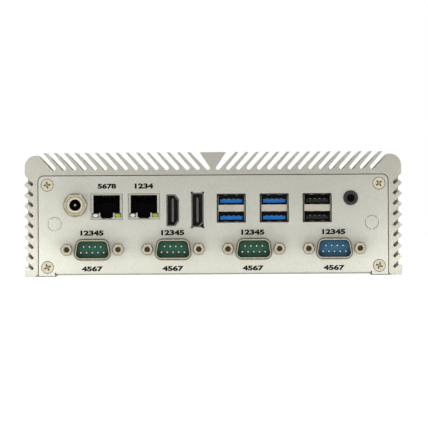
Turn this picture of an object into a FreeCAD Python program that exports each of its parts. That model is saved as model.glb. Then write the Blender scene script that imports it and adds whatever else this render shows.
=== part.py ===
"""Fanless industrial computer: a finned aluminium extrusion closed by two end plates and a base plate.

X runs across the connector panel, Y from the connector panel (-Y) to the rear panel (+Y), Z up.
The origin is the middle of the four bracket holes, on the plane the case rests on. Millimetres.
"""
import FreeCAD, Part
import math
import os

os.makedirs("parts", exist_ok=True)

# Common to all the pieces
OVER = 1.0                   # cutters run this far past the faces that they cut
JOIN = 0.1                   # pieces of one solid reach this far into each other
CLIP_PLAY = 0.05             # between parts that are pressed or clipped together
EDGE = 0.4                   # chamfer on turned and milled edges
FACE_RECESS = 0.1            # sheet shells end this far behind the panel's face

# Case
CASE_DEPTH = 130.0
RAIL_HEIGHT = 8.2            # solid rails that the case stands on
SHOULDER = 1.7               # step that each end panel seats on
BOSS_WIDTH = 8.1             # corner blocks that take the panel screws
BOSS_HEIGHT = 8.0
INNER_R = 0.8
POCKET_FLARE = 1.3           # chamfer at the foot of the pocket

# Cooling fins on the top
FIN_PITCH = 5.0
FIN_HEIGHT = 8.6             # from the floor of a gap to the tip
FIN_LEAN = math.radians(41.5)
FIN_TAPER = math.radians(1.5)
GAP_R = 1.05                 # round floor of a gap
FIRST_GAP_X = 2.4
WEDGE_LEAN = math.radians(34.0)
WEB = 2.3                    # metal between the fins and the pocket of the panel
LOBE_DROP = 1.2              # rounded shoulders stop this far under the fin tips
LOBE_R = 5.6

# Slots down both sides
SLOT_PITCH = 5.1
SLOT_WIDTH = 1.56
FIRST_SLOT_Z = 4.1
SIDE_WALL = 2.1              # metal between the pocket and the slots
SLOT_REACH = 3.72            # from the middle of a slot's closed end to the fin tips
LOBE_INSET = 0.4
FOOT_LIP = 0.5

# End panels and base plate
PANEL_THICKNESS = 2.0
PANEL_GAP = 0.4
PANEL_CORNER_R = 2.6
PANEL_TAB_Z = 0.3
PANEL_MIDDLE_Z = 1.3
REAR_INSET = 0.8             # the rear plate stands inside the outline of the fins
REAR_CORNER_R = 3.0
RELIEF_WIDTH = 0.6           # saw-cut at each corner of the panel's lower edge
PLATE_BOTTOM = 0.5
PLATE_THICKNESS = 1.4
LEDGE_WIDTH = 7.6
LEDGE_THICKNESS = 2.5
PLATE_SCREW_INSET = 14.0     # from the ends of the case
PANEL_SCREW_INSET = 4.25     # from the panel's sides, and from its top and tabs
KNOCKOUT_R = 3.35
KNOCKOUT_INSET = 7.8
KNOCKOUT_Z = 25.6
KNOCKOUT_CUT = 0.2
KNOCKOUT_BRIDGE = 0.9

# Screws
SCREW_HEAD_R = 2.85
SCREW_HEAD_HEIGHT = 1.3
SCREW_R = 1.45
SCREW_LENGTH = 9.0
SCREW_RIM = 0.2              # straight edge of a countersunk head
SCREW_SINK = 0.1             # heads lie this far under the face
SCREW_PLAY = 0.05            # in a tapped hole
SEAT_PLAY = 0.15             # in a plain hole
HEAD_PLAY = 0.25             # round a countersunk head
SCREW_POINT = 0.5
SCREW_END_GAP = 0.2          # screws stop short of the far side by this much
BLIND_RUN = 2.0              # a tapped hole goes on past its screw
CROSS_LENGTH = 3.3
CROSS_WIDTH = 0.75
CROSS_DEPTH = 1.0
CROSS_CORE_R = 0.85
SCREW_TURNS = (25, -18, 8, 40)  # degrees: how far round each cross has come to rest
PAN_HEAD_R = 2.75
PAN_HEAD_HEIGHT = 1.8
BRACKET_HOLE_R = 2.0
BRACKET_HOLE_DEPTH = 6.0
BRACKET_SPACING_Y = 90.0

# Upper row of ports, spaced from one middle to the next, left to right
DC_TO_NETWORK = 15.3
NETWORK_PITCH = 18.1
NETWORK_TO_VIDEO = 14.0
VIDEO_PITCH = 12.0
VIDEO_TO_USB = 16.4
USB_PITCH = 20.85
USB_COUNT = 3
USB_TO_AUDIO = 16.3
DC_TO_BOARD_EDGE = 6.0
AUDIO_TO_BOARD_EDGE = 6.2
PORT_PLAY = 0.2              # between a port and its cut-out
CUTOUT_R = 0.3
PIN_FOOT = 0.6               # solder feet under the shells
BOARD_GAP = 0.2              # over the tallest port

DC_Z = 34.7
DC_SLEEVE_R = 3.5
DC_THREAD_R = 4.0
DC_BORE_R = 2.8
DC_MOUTH = 0.3
DC_PIN_R = 1.05
DC_PIN_DROP = 2.5            # the pin's tip behind the mouth
DC_PROUD = 6.9
DC_THREAD_PROUD = 3.4
DC_NUT_FLATS = 10.0
DC_NUT_HEIGHT = 2.0
DC_WASHER = 0.5
DC_WASHER_RIM = 0.4
DC_SHOULDER = 1.0            # disc of the barrel behind the panel
DC_BODY = 11.6
DC_BODY_DEPTH = 13.0

NETWORK_Z = 33.9
NETWORK_WIDTH = 15.1
NETWORK_HEIGHT = 12.1
NETWORK_DEPTH = 20.0
NETWORK_SHEET = 0.3
NETWORK_SHEET_R = 0.4
NETWORK_BACK_WALL = 4.0
NETWORK_ROOF = 0.65
NETWORK_SILL = 0.9           # under the latch's channel
NETWORK_RIM = 0.5            # sheet left around the windows
NETWORK_CAVITY_WIDTH = 12.9
NETWORK_LAMP_WIDTH = 3.3
NETWORK_LAMP_HEIGHT = 1.9
NETWORK_LAMP_DEPTH = 6.0
NETWORK_LAMP_BAR = 0.75      # from the lamps to the floor of the cavity
NETWORK_LAMP_EDGE = 0.15
NETWORK_LATCH_WIDTH = 4.8
NETWORK_LATCH_DEPTH = 3.0
NETWORK_LATCH_PLAY = 0.5
NETWORK_CONTACTS = 8
NETWORK_CONTACT_PITCH = 1.02
NETWORK_WIRE = 0.35
NETWORK_WIRE_FALL = 3.6

VIDEO_A_Z = 31.9
VIDEO_A_WIDTH = 5.8
VIDEO_A_HEIGHT = 15.1
VIDEO_A_BEVEL_X = 1.9
VIDEO_A_BEVEL_Z = 2.4
VIDEO_A_TONGUE = 11.5
VIDEO_B_Z = 32.0
VIDEO_B_WIDTH = 5.6
VIDEO_B_HEIGHT = 16.4
VIDEO_B_BEVEL = 2.0
VIDEO_B_TONGUE = 12.0
VIDEO_B_EAR_R = 0.55         # round corners cut into the panel
VIDEO_DEPTH = 13.0
VIDEO_RECESS = 0.15
VIDEO_SHEET = 0.4
VIDEO_R = 0.4
VIDEO_BACK_WALL = 5.0
VIDEO_TONGUE = 1.0
VIDEO_TONGUE_RECESS = 1.4
VIDEO_CONTACTS = 9
VIDEO_CONTACT_WIDTH = 0.5
VIDEO_CONTACT_RISE = 0.12
VIDEO_FOOT_SPREAD = 1.6

USB_Z = 32.8
USB_CUTOUT = 14.1
USB_WIDTH = 13.1
USB_HEIGHT = 13.7
USB_DEPTH = 17.0
USB_SHEET = 0.3
USB_SHEET_R = 0.35
USB_BORE_R = 0.3
USB_BAR = 3.2
USB_BACK_WALL = 4.5
USB_TONGUE_WIDTH = 10.8
USB_TONGUE_HEIGHT = 1.8
USB_TONGUE_RISE = 0.9
USB_TONGUE_RECESS = 0.9
USB_RECESS = 0.5
USB_CONTACTS = 4
USB_CONTACT_PITCH = 2.3
USB_CONTACT_WIDTH = 1.0
USB_CONTACT_RISE = 0.25
USB_CONTACT_LENGTH = 9.7

AUDIO_Z = 37.5
AUDIO_R = 3.35
AUDIO_BORE_R = 1.8
AUDIO_PROUD = 0.7
AUDIO_LIP = 0.3
AUDIO_DISH = 0.7
AUDIO_BODY = 7.0
AUDIO_BODY_GAP = 0.3         # behind the panel
AUDIO_DEPTH = 12.5
AUDIO_BACK_WALL = 1.0
AUDIO_RING = 0.4
AUDIO_RING_DROP = 0.6
AUDIO_RING_WIDTH = 1.0

# Lower row of serial ports
SERIAL_PITCH = 39.2
SERIAL_COUNT = 4
SERIAL_Z = 13.0
SERIAL_WIDTH = 17.65
SERIAL_HEIGHT = 9.1
SERIAL_SLANT = math.radians(10.0)
SERIAL_CORNER_R = 2.6
SERIAL_COLLAR = 0.4          # wider foot of the shell, where it leaves the panel
SERIAL_COLLAR_PROUD = 0.5
SERIAL_PROUD = 5.2
SERIAL_SHEET = 0.36
SERIAL_INSERT_RECESS = 5.6
SERIAL_INSERT_PLAY = 0.03
SERIAL_FLANGE_RIM = 2.9      # flange beyond the middle of each jackscrew
SERIAL_FLANGE_HEIGHT = 12.5
SERIAL_FLANGE_R = 1.0
SERIAL_FLANGE = 0.8
SERIAL_BODY_DEPTH = 9.0
SERIAL_ROW_GAP = 1.5         # from the end of the row to the corner blocks
PIN_COLUMNS = 5
PIN_PITCH = 2.77
PIN_ROW_GAP = 2.84
PIN_R = 0.5
PIN_DROP = 0.7               # pin tips behind the rim of the shell
PIN_NOSE = 0.3
JACKSCREW_SPACING = 24.99
JACKSCREW_FLATS = 4.8
JACKSCREW_PROUD = 4.9
JACKSCREW_STUD_R = 1.4
JACKSCREW_STUD_END = 4.0     # past the flange
JACKSCREW_THREAD_R = 1.25

# Boards and what they carry
BOARD_DEPTH = 102.0
BOARD_THICKNESS = 1.6
BOARD_SIDE_GAP = 3.7         # to the corner blocks
BOARD_HEADROOM = 4.8         # from the board to the roof of the case
BOARD_HOLE_INSET = 4.0
BOARD_HOLE_FRONT = 26.0      # front holes stand behind the ports
BOARD_FRONT_GAP = 1.2        # behind the connector panel
STANDOFF_FLATS = 5.5
STANDOFF_FLOOR = 1.0         # solid end of a standoff
PACKAGE_SIZE = 24.0
PACKAGE_HEIGHT = 1.4
PAD_THICKNESS = 0.5
PAD_INSET = 1.0
SPREADER_SIZE = 44.0
SPREADER_SPACING = 36.0
SPREADER_TAP = 2.7
MEMORY_WIDTH = 67.6
MEMORY_DEPTH = 30.0
MEMORY_THICKNESS = 1.0
MEMORY_DROP = 3.2
MEMORY_FRONT = 28.0          # from the front of the board
MEMORY_SOCKET_END = 2.0
MEMORY_SOCKET_GRIP = 4.0
MEMORY_SOCKET_BACK = 3.0
MEMORY_SOCKET_LIP = 1.0
CELL_R = 10.0
CELL_HEIGHT = 3.2
CELL_INSET_X = 26.0
CELL_INSET_Y = 24.0
CELL_HOLDER_WALL = 1.4
CELL_HOLDER_FLOOR = 1.5
COIL_SIZE = 7.0
COIL_HEIGHT = 3.6
COIL_PITCH = 10.0
COIL_GAP = 12.5              # from the processor to the coils
COIL_ROWS = 3
SERIAL_BOARD_DEPTH = 30.0
SPACER_INSET = 3.5           # from the edges of the serial board
SPACER_LEDGE_GAP = 0.3       # beside the ledges that hold the base plate
SPACER_GAP = 6.0             # behind the ports
DRIVE_WIDTH = 100.0
DRIVE_DEPTH = 69.8
DRIVE_HEIGHT = 7.0
DRIVE_LIFT = 6.0             # above the base plate
DRIVE_HOLE_DEPTH = 3.0
DRIVE_SCREW_REACH = 2.6
DRIVE_SCREW_INSET = 12.0
TRAY_SHEET = 1.2
TRAY_FLANGE = 8.0
TRAY_GAP = 6.0               # behind the serial board
TRAY_INSET = 4.0             # the drive reaches past the tray at both ends
TRAY_SCREW_INSET = 8.0
LEAD_WIDTH = 12.0
LEAD_THICKNESS = 0.9
PLUG_RIM = 1.5
PLUG_DEPTH = 5.0
PLUG_HEIGHT = 6.0
PLUG_INSET = 6.0             # from the edge of what it plugs into
SERIAL_LEAD_X = -40.0
SERIAL_LEAD_BEND = 6.0
SERIAL_LEAD_END = 12.0       # behind the memory
DRIVE_LEAD_X = 0.0
DRIVE_LEAD_BEND = 3.5
DRIVE_LEAD_END = 22.0        # from the rear of the board

# Rear panel
BUTTON_X = -58.0
BUTTON_Z = 25.6
BUTTON_R = 4.6
BUTTON_PLAY = 0.3
BUTTON_BARREL_R = 6.0
BUTTON_FLANGE_R = 7.4
BUTTON_FLANGE = 1.6
BUTTON_BEVEL = 0.6
BUTTON_PROUD = 1.5
BUTTON_ROUND = 0.5
BUTTON_TRAVEL = 1.2
BUTTON_DEPTH = 16.0
BUTTON_FLOOR = 4.0           # solid end of the barrel
BUTTON_NUT_FLATS = 14.0
BUTTON_NUT_HEIGHT = 3.0
LAMP_R = 1.5
LAMP_PITCH = 8.0
LAMP_COUNT = 2
LAMP_RIM = 0.6
LAMP_RISE = 0.6
LAMP_BODY = 3.0              # behind the panel

# Worked out from the sizes above
PORT_ROW = (DC_TO_NETWORK + NETWORK_PITCH + NETWORK_TO_VIDEO + VIDEO_PITCH + VIDEO_TO_USB
            + (USB_COUNT - 1) * USB_PITCH + USB_TO_AUDIO)
BOARD_WIDTH = PORT_ROW + DC_TO_BOARD_EDGE + AUDIO_TO_BOARD_EDGE
SERIAL_FLANGE_WIDTH = JACKSCREW_SPACING + 2 * SERIAL_FLANGE_RIM
SERIAL_ROW_HALF = ((SERIAL_COUNT - 1) * SERIAL_PITCH + SERIAL_FLANGE_WIDTH) / 2
BOSS_X = max(BOARD_WIDTH / 2 + BOARD_SIDE_GAP, SERIAL_ROW_HALF + SERIAL_ROW_GAP)
PANEL_HALF = BOSS_X + BOSS_WIDTH
POCKET_HALF = PANEL_HALF + PANEL_GAP
SLOT_X = POCKET_HALF + SIDE_WALL + SLOT_WIDTH / 2
CASE_HALF = SLOT_X + SLOT_REACH

DC_X = DC_TO_BOARD_EDGE - BOARD_WIDTH / 2
NETWORK_XS = [DC_X + DC_TO_NETWORK, DC_X + DC_TO_NETWORK + NETWORK_PITCH]
VIDEO_A_X = NETWORK_XS[1] + NETWORK_TO_VIDEO
VIDEO_B_X = VIDEO_A_X + VIDEO_PITCH
USB_XS = [VIDEO_B_X + VIDEO_TO_USB + i * USB_PITCH for i in range(USB_COUNT)]
AUDIO_X = USB_XS[-1] + USB_TO_AUDIO
SERIAL_XS = [(i - (SERIAL_COUNT - 1) / 2) * SERIAL_PITCH for i in range(SERIAL_COUNT)]

FRONT = -CASE_DEPTH / 2
BACK = CASE_DEPTH / 2
SEAT_FRONT = FRONT + PANEL_THICKNESS
SEAT_BACK = BACK - PANEL_THICKNESS
PLATE_TOP = PLATE_BOTTOM + PLATE_THICKNESS
AUDIO_RING_Y = (FRONT + AUDIO_RING_DROP, FRONT + AUDIO_RING_DROP + AUDIO_RING_WIDTH)
PORT_TOP = max(AUDIO_Z + AUDIO_R, VIDEO_B_Z + VIDEO_B_HEIGHT / 2, USB_Z + USB_HEIGHT / 2)
BOARD_BOTTOM = PORT_TOP + BOARD_GAP
BOARD_TOP = BOARD_BOTTOM + BOARD_THICKNESS
ROOF = BOARD_TOP + BOARD_HEADROOM
POCKET_TOP = ROOF + SHOULDER
PANEL_TOP = POCKET_TOP - PANEL_GAP
GAP_FLOOR = POCKET_TOP + WEB
CASE_TOP = GAP_FLOOR + FIN_HEIGHT
LOBE_TOP = CASE_TOP - LOBE_DROP
LOBE_SIDE = CASE_HALF - LOBE_INSET
INNER_HALF = POCKET_HALF - SHOULDER
SERIAL_BODY_BOTTOM = SERIAL_Z - SERIAL_FLANGE_HEIGHT / 2
SERIAL_BOARD_TOP = SERIAL_BODY_BOTTOM
SERIAL_BOARD_BOTTOM = SERIAL_BOARD_TOP - BOARD_THICKNESS
SERIAL_BOARD_FRONT = SEAT_FRONT + SERIAL_FLANGE
BOARD_FRONT = SEAT_FRONT + BOARD_FRONT_GAP
BOARD_BACK = BOARD_FRONT + BOARD_DEPTH
SERIAL_BODY_BACK = SERIAL_BOARD_FRONT + SERIAL_BODY_DEPTH
DRIVE_BOTTOM = PLATE_TOP + DRIVE_LIFT
DRIVE_TOP = DRIVE_BOTTOM + DRIVE_HEIGHT
SPREADER_BOTTOM = BOARD_TOP + PACKAGE_HEIGHT + PAD_THICKNESS
BUTTON_WELL = BACK - BUTTON_DEPTH + BUTTON_FLOOR


def vec(x, y, z):
    return FreeCAD.Vector(x, y, z)


def box(x, y, z):
    """A block between the low and high values of x, y and z."""
    return Part.makeBox(x[1] - x[0], y[1] - y[0], z[1] - z[0], vec(x[0], y[0], z[0]))


def middle(centre, width):
    return (centre - width / 2, centre + width / 2)


def rod_y(x, z, r, y):
    return Part.makeCylinder(r, y[1] - y[0], vec(x, y[0], z), vec(0, 1, 0))


def rod_z(x, y, r, z):
    return Part.makeCylinder(r, z[1] - z[0], vec(x, y, z[0]), vec(0, 0, 1))


def cone_y(x, z, r, y):
    """A cone along Y whose radius goes from r[0] at y[0] to r[1] at y[1]."""
    return Part.makeCone(r[0], r[1], y[1] - y[0], vec(x, y[0], z), vec(0, 1, 0))


def hexagon_y(x, z, flats, y):
    turns = [math.radians(60 * i) for i in range(6)]
    reach = flats / math.sqrt(3)
    corners = [(x + reach * math.cos(t), z + reach * math.sin(t), 0) for t in turns]
    return prism(corners, y)


def crowned_hexagon(x, z, flats, y):
    """A hexagon along Y whose corners are turned off at its -Y end."""
    reach = flats / math.sqrt(3)
    crown = fuse([cone_y(x, z, (reach - EDGE, reach), (y[0], y[0] + EDGE)),
                  rod_y(x, z, reach, (y[0] + EDGE, y[1]))])
    return hexagon_y(x, z, flats, y).common(crown)


def hexagon_z(x, y, flats, z):
    shape = hexagon_y(x, -y, flats, z)
    return shape.rotated(vec(0, 0, 0), vec(1, 0, 0), 90)


def rounded_face(corners):
    """A face in the XZ plane. Each corner is (x, z, radius of its rounding)."""
    ends = []
    for i, (x, z, r) in enumerate(corners):
        corner = vec(x, 0, z)
        if r == 0:
            ends.append((corner, None, corner))
            continue
        before = vec(corners[i - 1][0], 0, corners[i - 1][1])
        after = vec(corners[(i + 1) % len(corners)][0], 0, corners[(i + 1) % len(corners)][1])
        into = (before - corner).normalize()
        out = (after - corner).normalize()
        half = into.getAngle(out) / 2
        bisector = (into + out).normalize()
        arc_middle = corner + bisector * (r / math.sin(half) - r)
        reach = r / math.tan(half)
        ends.append((corner + into * reach, arc_middle, corner + out * reach))
    edges = []
    for i, (start, arc_middle, stop) in enumerate(ends):
        if arc_middle is not None:
            edges.append(Part.Arc(start, arc_middle, stop).toShape())
        edges.append(Part.LineSegment(stop, ends[(i + 1) % len(ends)][0]).toShape())
    return Part.Face(Part.Wire(edges))


def prism(corners, y):
    face = rounded_face(corners)
    face.translate(vec(0, y[0], 0))
    return face.extrude(vec(0, y[1] - y[0], 0))


def rectangle(x, z, r=0.0):
    return [(x[0], z[0], r), (x[1], z[0], r), (x[1], z[1], r), (x[0], z[1], r)]


def mirrored(shape):
    return shape.mirror(vec(0, 0, 0), vec(1, 0, 0))


def fuse(shapes):
    return shapes[0].multiFuse(shapes[1:]).removeSplitter() if len(shapes) > 1 else shapes[0]


def save(name, shapes):
    """Writes one node, made of one solid or of a group of like solids."""
    shape = shapes[0] if len(shapes) == 1 else Part.makeCompound(shapes)
    shape.exportStep("parts/" + name + ".step")


# ---------------------------------------------------------------- case

def fin_gap(x, inner_lean, outer_lean):
    """The open space between two top fins: tapered, leaning outward, with a round floor."""
    top = FIN_HEIGHT + OVER
    centre_z = GAP_FLOOR + GAP_R
    inner = (math.sin(inner_lean), math.cos(inner_lean))
    outer = (math.sin(outer_lean), math.cos(outer_lean))
    low_left = vec(x - GAP_R * inner[1], 0, centre_z + GAP_R * inner[0])
    low_right = vec(x + GAP_R * outer[1], 0, centre_z - GAP_R * outer[0])
    lean = (inner_lean + outer_lean) / 2
    floor = vec(x - GAP_R * math.sin(lean), 0, centre_z - GAP_R * math.cos(lean))
    high_left = low_left + vec(inner[0], 0, inner[1]) * (top / inner[1])
    high_right = low_right + vec(outer[0], 0, outer[1]) * (top / outer[1])
    edges = [
        Part.Arc(low_left, floor, low_right).toShape(),
        Part.LineSegment(low_right, high_right).toShape(),
        Part.LineSegment(high_right, high_left).toShape(),
        Part.LineSegment(high_left, low_left).toShape(),
    ]
    return through_case(Part.Face(Part.Wire(edges)))


def through_case(face):
    face.translate(vec(0, FRONT - OVER, 0))
    return face.extrude(vec(0, SEAT_BACK - FRONT + 2 * OVER, 0))


def top_gaps():
    lobe_rise = (LOBE_TOP - GAP_FLOOR) * math.tan(FIN_LEAN + FIN_TAPER) + GAP_R
    room = LOBE_SIDE - LOBE_R - lobe_rise - FIRST_GAP_X
    count = 1 + int(room / FIN_PITCH)
    gaps = []
    for i in range(count):
        inner_lean = WEDGE_LEAN if i == 0 else FIN_LEAN - FIN_TAPER
        gaps.append(fin_gap(FIRST_GAP_X + i * FIN_PITCH, inner_lean, FIN_LEAN + FIN_TAPER))
    last_x = FIRST_GAP_X + (count - 1) * FIN_PITCH
    return gaps, last_x


def side_outline():
    """The edge of the right-hand side, foot to shoulder: slots at 45 degrees between square fins."""
    half = SLOT_WIDTH / 2
    diagonal = half * math.sqrt(0.5)
    rise = SLOT_WIDTH * math.sqrt(0.5)
    room = LOBE_TOP - LOBE_R - FIRST_SLOT_Z - (LOBE_SIDE - SLOT_X) - rise
    count = 1 + int(room / SLOT_PITCH)
    edges = []
    point = vec(CASE_HALF, 0, 0)

    def line_to(x, z):
        edges.append(Part.LineSegment(point, vec(x, 0, z)).toShape())
        return vec(x, 0, z)

    point = line_to(CASE_HALF, FIRST_SLOT_Z + FOOT_LIP)
    point = line_to(SLOT_X + FOOT_LIP + rise, FIRST_SLOT_Z + FOOT_LIP)
    for i in range(count):
        z = FIRST_SLOT_Z + i * SLOT_PITCH
        point = line_to(SLOT_X + diagonal, z - diagonal)
        stop = vec(SLOT_X - diagonal, 0, z + diagonal)
        deepest = vec(SLOT_X - diagonal, 0, z - diagonal)
        edges.append(Part.Arc(point, deepest, stop).toShape())
        point = stop
        if i < count - 1:
            low_corner = vec(CASE_HALF, 0, z + rise + CASE_HALF - SLOT_X)
            square_end = (SLOT_PITCH - 2 * rise) / 2
            point = line_to(low_corner.x, low_corner.z)
            point = line_to(low_corner.x - square_end, low_corner.z + square_end)
        else:
            point = line_to(LOBE_SIDE, z + rise + LOBE_SIDE - SLOT_X)
    point = line_to(LOBE_SIDE, LOBE_TOP - LOBE_R)
    slant = LOBE_R * math.sqrt(0.5)
    arc_middle = vec(LOBE_SIDE - LOBE_R + slant, 0, LOBE_TOP - LOBE_R + slant)
    stop = vec(LOBE_SIDE - LOBE_R, 0, LOBE_TOP)
    edges.append(Part.Arc(point, arc_middle, stop).toShape())
    return edges, stop


def chassis():
    gaps, last_gap_x = top_gaps()
    edges, stop = side_outline()
    step_x = last_gap_x + (LOBE_TOP - GAP_FLOOR) * math.tan(FIN_LEAN)
    corners = [stop, vec(step_x, 0, LOBE_TOP), vec(step_x, 0, CASE_TOP), vec(0, 0, CASE_TOP),
               vec(0, 0, 0), vec(CASE_HALF, 0, 0)]
    for start, end in zip(corners, corners[1:]):
        edges.append(Part.LineSegment(start, end).toShape())
    half = Part.Face(Part.Wire(Part.__sortEdges__(edges)))
    half.translate(vec(0, FRONT, 0))
    solid = half.extrude(vec(0, SEAT_BACK - FRONT, 0)).cut(gaps)
    solid = fuse([solid, mirrored(solid)])

    ledge_top = PLATE_TOP + LEDGE_THICKNESS
    boss_bottom = POCKET_TOP - BOSS_HEIGHT
    cavity = [
        (BOSS_X, -OVER, 0), (BOSS_X, PLATE_TOP, 0),
        (BOSS_X - LEDGE_WIDTH, PLATE_TOP, 0), (BOSS_X - LEDGE_WIDTH, ledge_top, 0),
        (BOSS_X, ledge_top, INNER_R), (BOSS_X, RAIL_HEIGHT, INNER_R),
        (INNER_HALF, RAIL_HEIGHT, INNER_R), (INNER_HALF, boss_bottom, INNER_R),
        (BOSS_X, boss_bottom, INNER_R), (BOSS_X, ROOF, INNER_R),
    ]
    cavity += [(-x, z, r) for x, z, r in reversed(cavity)]
    solid = solid.cut(prism(cavity, (FRONT - OVER, BACK)))

    pocket = [
        (POCKET_HALF + POCKET_FLARE + OVER, -OVER, 0), (POCKET_HALF, POCKET_FLARE, 0),
        (POCKET_HALF, POCKET_TOP, PANEL_CORNER_R + PANEL_GAP),
    ]
    pocket += [(-x, z, r) for x, z, r in reversed(pocket)]
    solid = solid.cut(prism(pocket, (FRONT - OVER, SEAT_FRONT)))

    holes = []
    depth = SCREW_LENGTH + BLIND_RUN - PANEL_THICKNESS
    for x, z in panel_screw_places():
        holes.append(rod_y(x, z, SCREW_R + SCREW_PLAY, (SEAT_FRONT - OVER, SEAT_FRONT + depth)))
        holes.append(rod_y(x, z, SCREW_R + SCREW_PLAY, (SEAT_BACK - depth, BACK)))
    for x, y in plate_screw_places():
        holes.append(rod_z(x, y, SCREW_R + SCREW_PLAY, (PLATE_BOTTOM, ledge_top + OVER)))
    for x in (-bracket_x(), bracket_x()):
        for y in middle(0, BRACKET_SPACING_Y):
            holes.append(rod_z(x, y, BRACKET_HOLE_R, (-OVER, BRACKET_HOLE_DEPTH)))
    for x, y in board_hole_places():
        holes.append(rod_z(x, y, SCREW_R, (ROOF - OVER, POCKET_TOP)))
    for x, y in spreader_screw_places():
        holes.append(rod_z(x, y, SCREW_R, (ROOF - OVER, ROOF + SPREADER_TAP)))
    return solid.cut(holes)


def panel_screw_places():
    x = PANEL_HALF - PANEL_SCREW_INSET
    low = PANEL_TAB_Z + PANEL_SCREW_INSET
    high = PANEL_TOP - PANEL_SCREW_INSET
    return [(-x, low), (x, low), (-x, high), (x, high)]


def plate_screw_places():
    x = BOSS_X - LEDGE_WIDTH / 2
    reach = CASE_DEPTH / 2 - PLATE_SCREW_INSET
    return [(side * x, y) for side in (-1, 1) for y in (-reach, 0, reach)]


def bracket_x():
    return BOSS_X + BOSS_WIDTH / 2


def board_hole_places():
    x = BOARD_WIDTH / 2 - BOARD_HOLE_INSET
    front = BOARD_FRONT + BOARD_HOLE_FRONT
    return [(side * x, y) for side in (-1, 1) for y in (front, BOARD_BACK - BOARD_HOLE_INSET)]


def spreader_screw_places():
    ends = middle(0, SPREADER_SPACING)
    return [(x, y) for x in ends for y in ends]


def panel_blank():
    inner, outer = middle(BOSS_X, RELIEF_WIDTH)
    relief_top = PANEL_MIDDLE_Z + RELIEF_WIDTH
    right = [
        (inner, PANEL_MIDDLE_Z, 0), (inner, relief_top, 0), (outer, relief_top, 0), (outer, PANEL_TAB_Z, 0),
        (PANEL_HALF, PANEL_TAB_Z, 0), (PANEL_HALF, PANEL_TOP, PANEL_CORNER_R),
    ]
    left = [(-x, z, r) for x, z, r in reversed(right)]
    return prism(right + left, (FRONT, SEAT_FRONT))


def turned(profile):
    """A solid turned about Z from (radius, height) points."""
    points = [vec(r, 0, z) for r, z in profile]
    face = Part.Face(Part.makePolygon(points + points[:1]))
    return face.revolve(vec(0, 0, 0), vec(0, 0, 1), 360)


def countersink(depth):
    """The seat of a countersunk screw that goes in along -Z from z = 0, down to a depth."""
    head_r = SCREW_HEAD_R + HEAD_PLAY
    hole_r = SCREW_R + SEAT_PLAY
    return turned([(0, OVER), (head_r, OVER), (head_r, -SCREW_RIM - SCREW_SINK),
                   (hole_r, -SCREW_HEAD_HEIGHT - SCREW_SINK), (hole_r, -depth), (0, -depth)])


def screw_seat(x, z, face, inward):
    """A countersink in an end panel: inward is 1 where its screw goes in along +Y."""
    shape = countersink(PANEL_THICKNESS + OVER)
    shape.rotate(vec(0, 0, 0), vec(1, 0, 0), 90 * inward)
    shape.translate(vec(x, face, z))
    return shape


def countersunk_screw(length, turn):
    """A cross-recess screw along -Z, with the top of its head at z = 0."""
    body = turned([(0, 0), (SCREW_HEAD_R, 0), (SCREW_HEAD_R, -SCREW_RIM), (SCREW_R, -SCREW_HEAD_HEIGHT),
                   (SCREW_R, SCREW_POINT - length), (SCREW_R - SCREW_POINT, -length), (0, -length)])
    arms = []
    for angle in (turn, turn + 90):
        arm = box(middle(0, CROSS_LENGTH), middle(0, CROSS_WIDTH), (-CROSS_DEPTH, OVER))
        arms.append(arm.rotated(vec(0, 0, 0), vec(0, 0, 1), angle))
    core_depth = CROSS_DEPTH + JOIN
    centre = Part.makeCone(CROSS_CORE_R / 3, CROSS_CORE_R, core_depth, vec(0, 0, -core_depth))
    return body.cut(arms + [centre])


def panel_screws(face, inward):
    screws = []
    for (x, z), turn in zip(panel_screw_places(), SCREW_TURNS):
        screw = countersunk_screw(SCREW_LENGTH, turn)
        screw.rotate(vec(0, 0, 0), vec(1, 0, 0), 90 * inward)
        screw.translate(vec(x, face + SCREW_SINK * inward, z))
        screws.append(screw)
    return screws


def knockout(x):
    """A ring cut nearly round, left on three bridges, for an aerial socket."""
    y = (FRONT - OVER, SEAT_FRONT + OVER)
    inner = rod_y(x, KNOCKOUT_Z, KNOCKOUT_R - KNOCKOUT_CUT, y)
    ring = rod_y(x, KNOCKOUT_Z, KNOCKOUT_R, y).cut(inner)
    for angle in (90, 210, 330):
        bridge = box((x, x + 2 * KNOCKOUT_R), y, middle(KNOCKOUT_Z, KNOCKOUT_BRIDGE))
        ring = ring.cut(bridge.rotated(vec(x, 0, KNOCKOUT_Z), vec(0, 1, 0), angle))
    return ring


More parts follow.
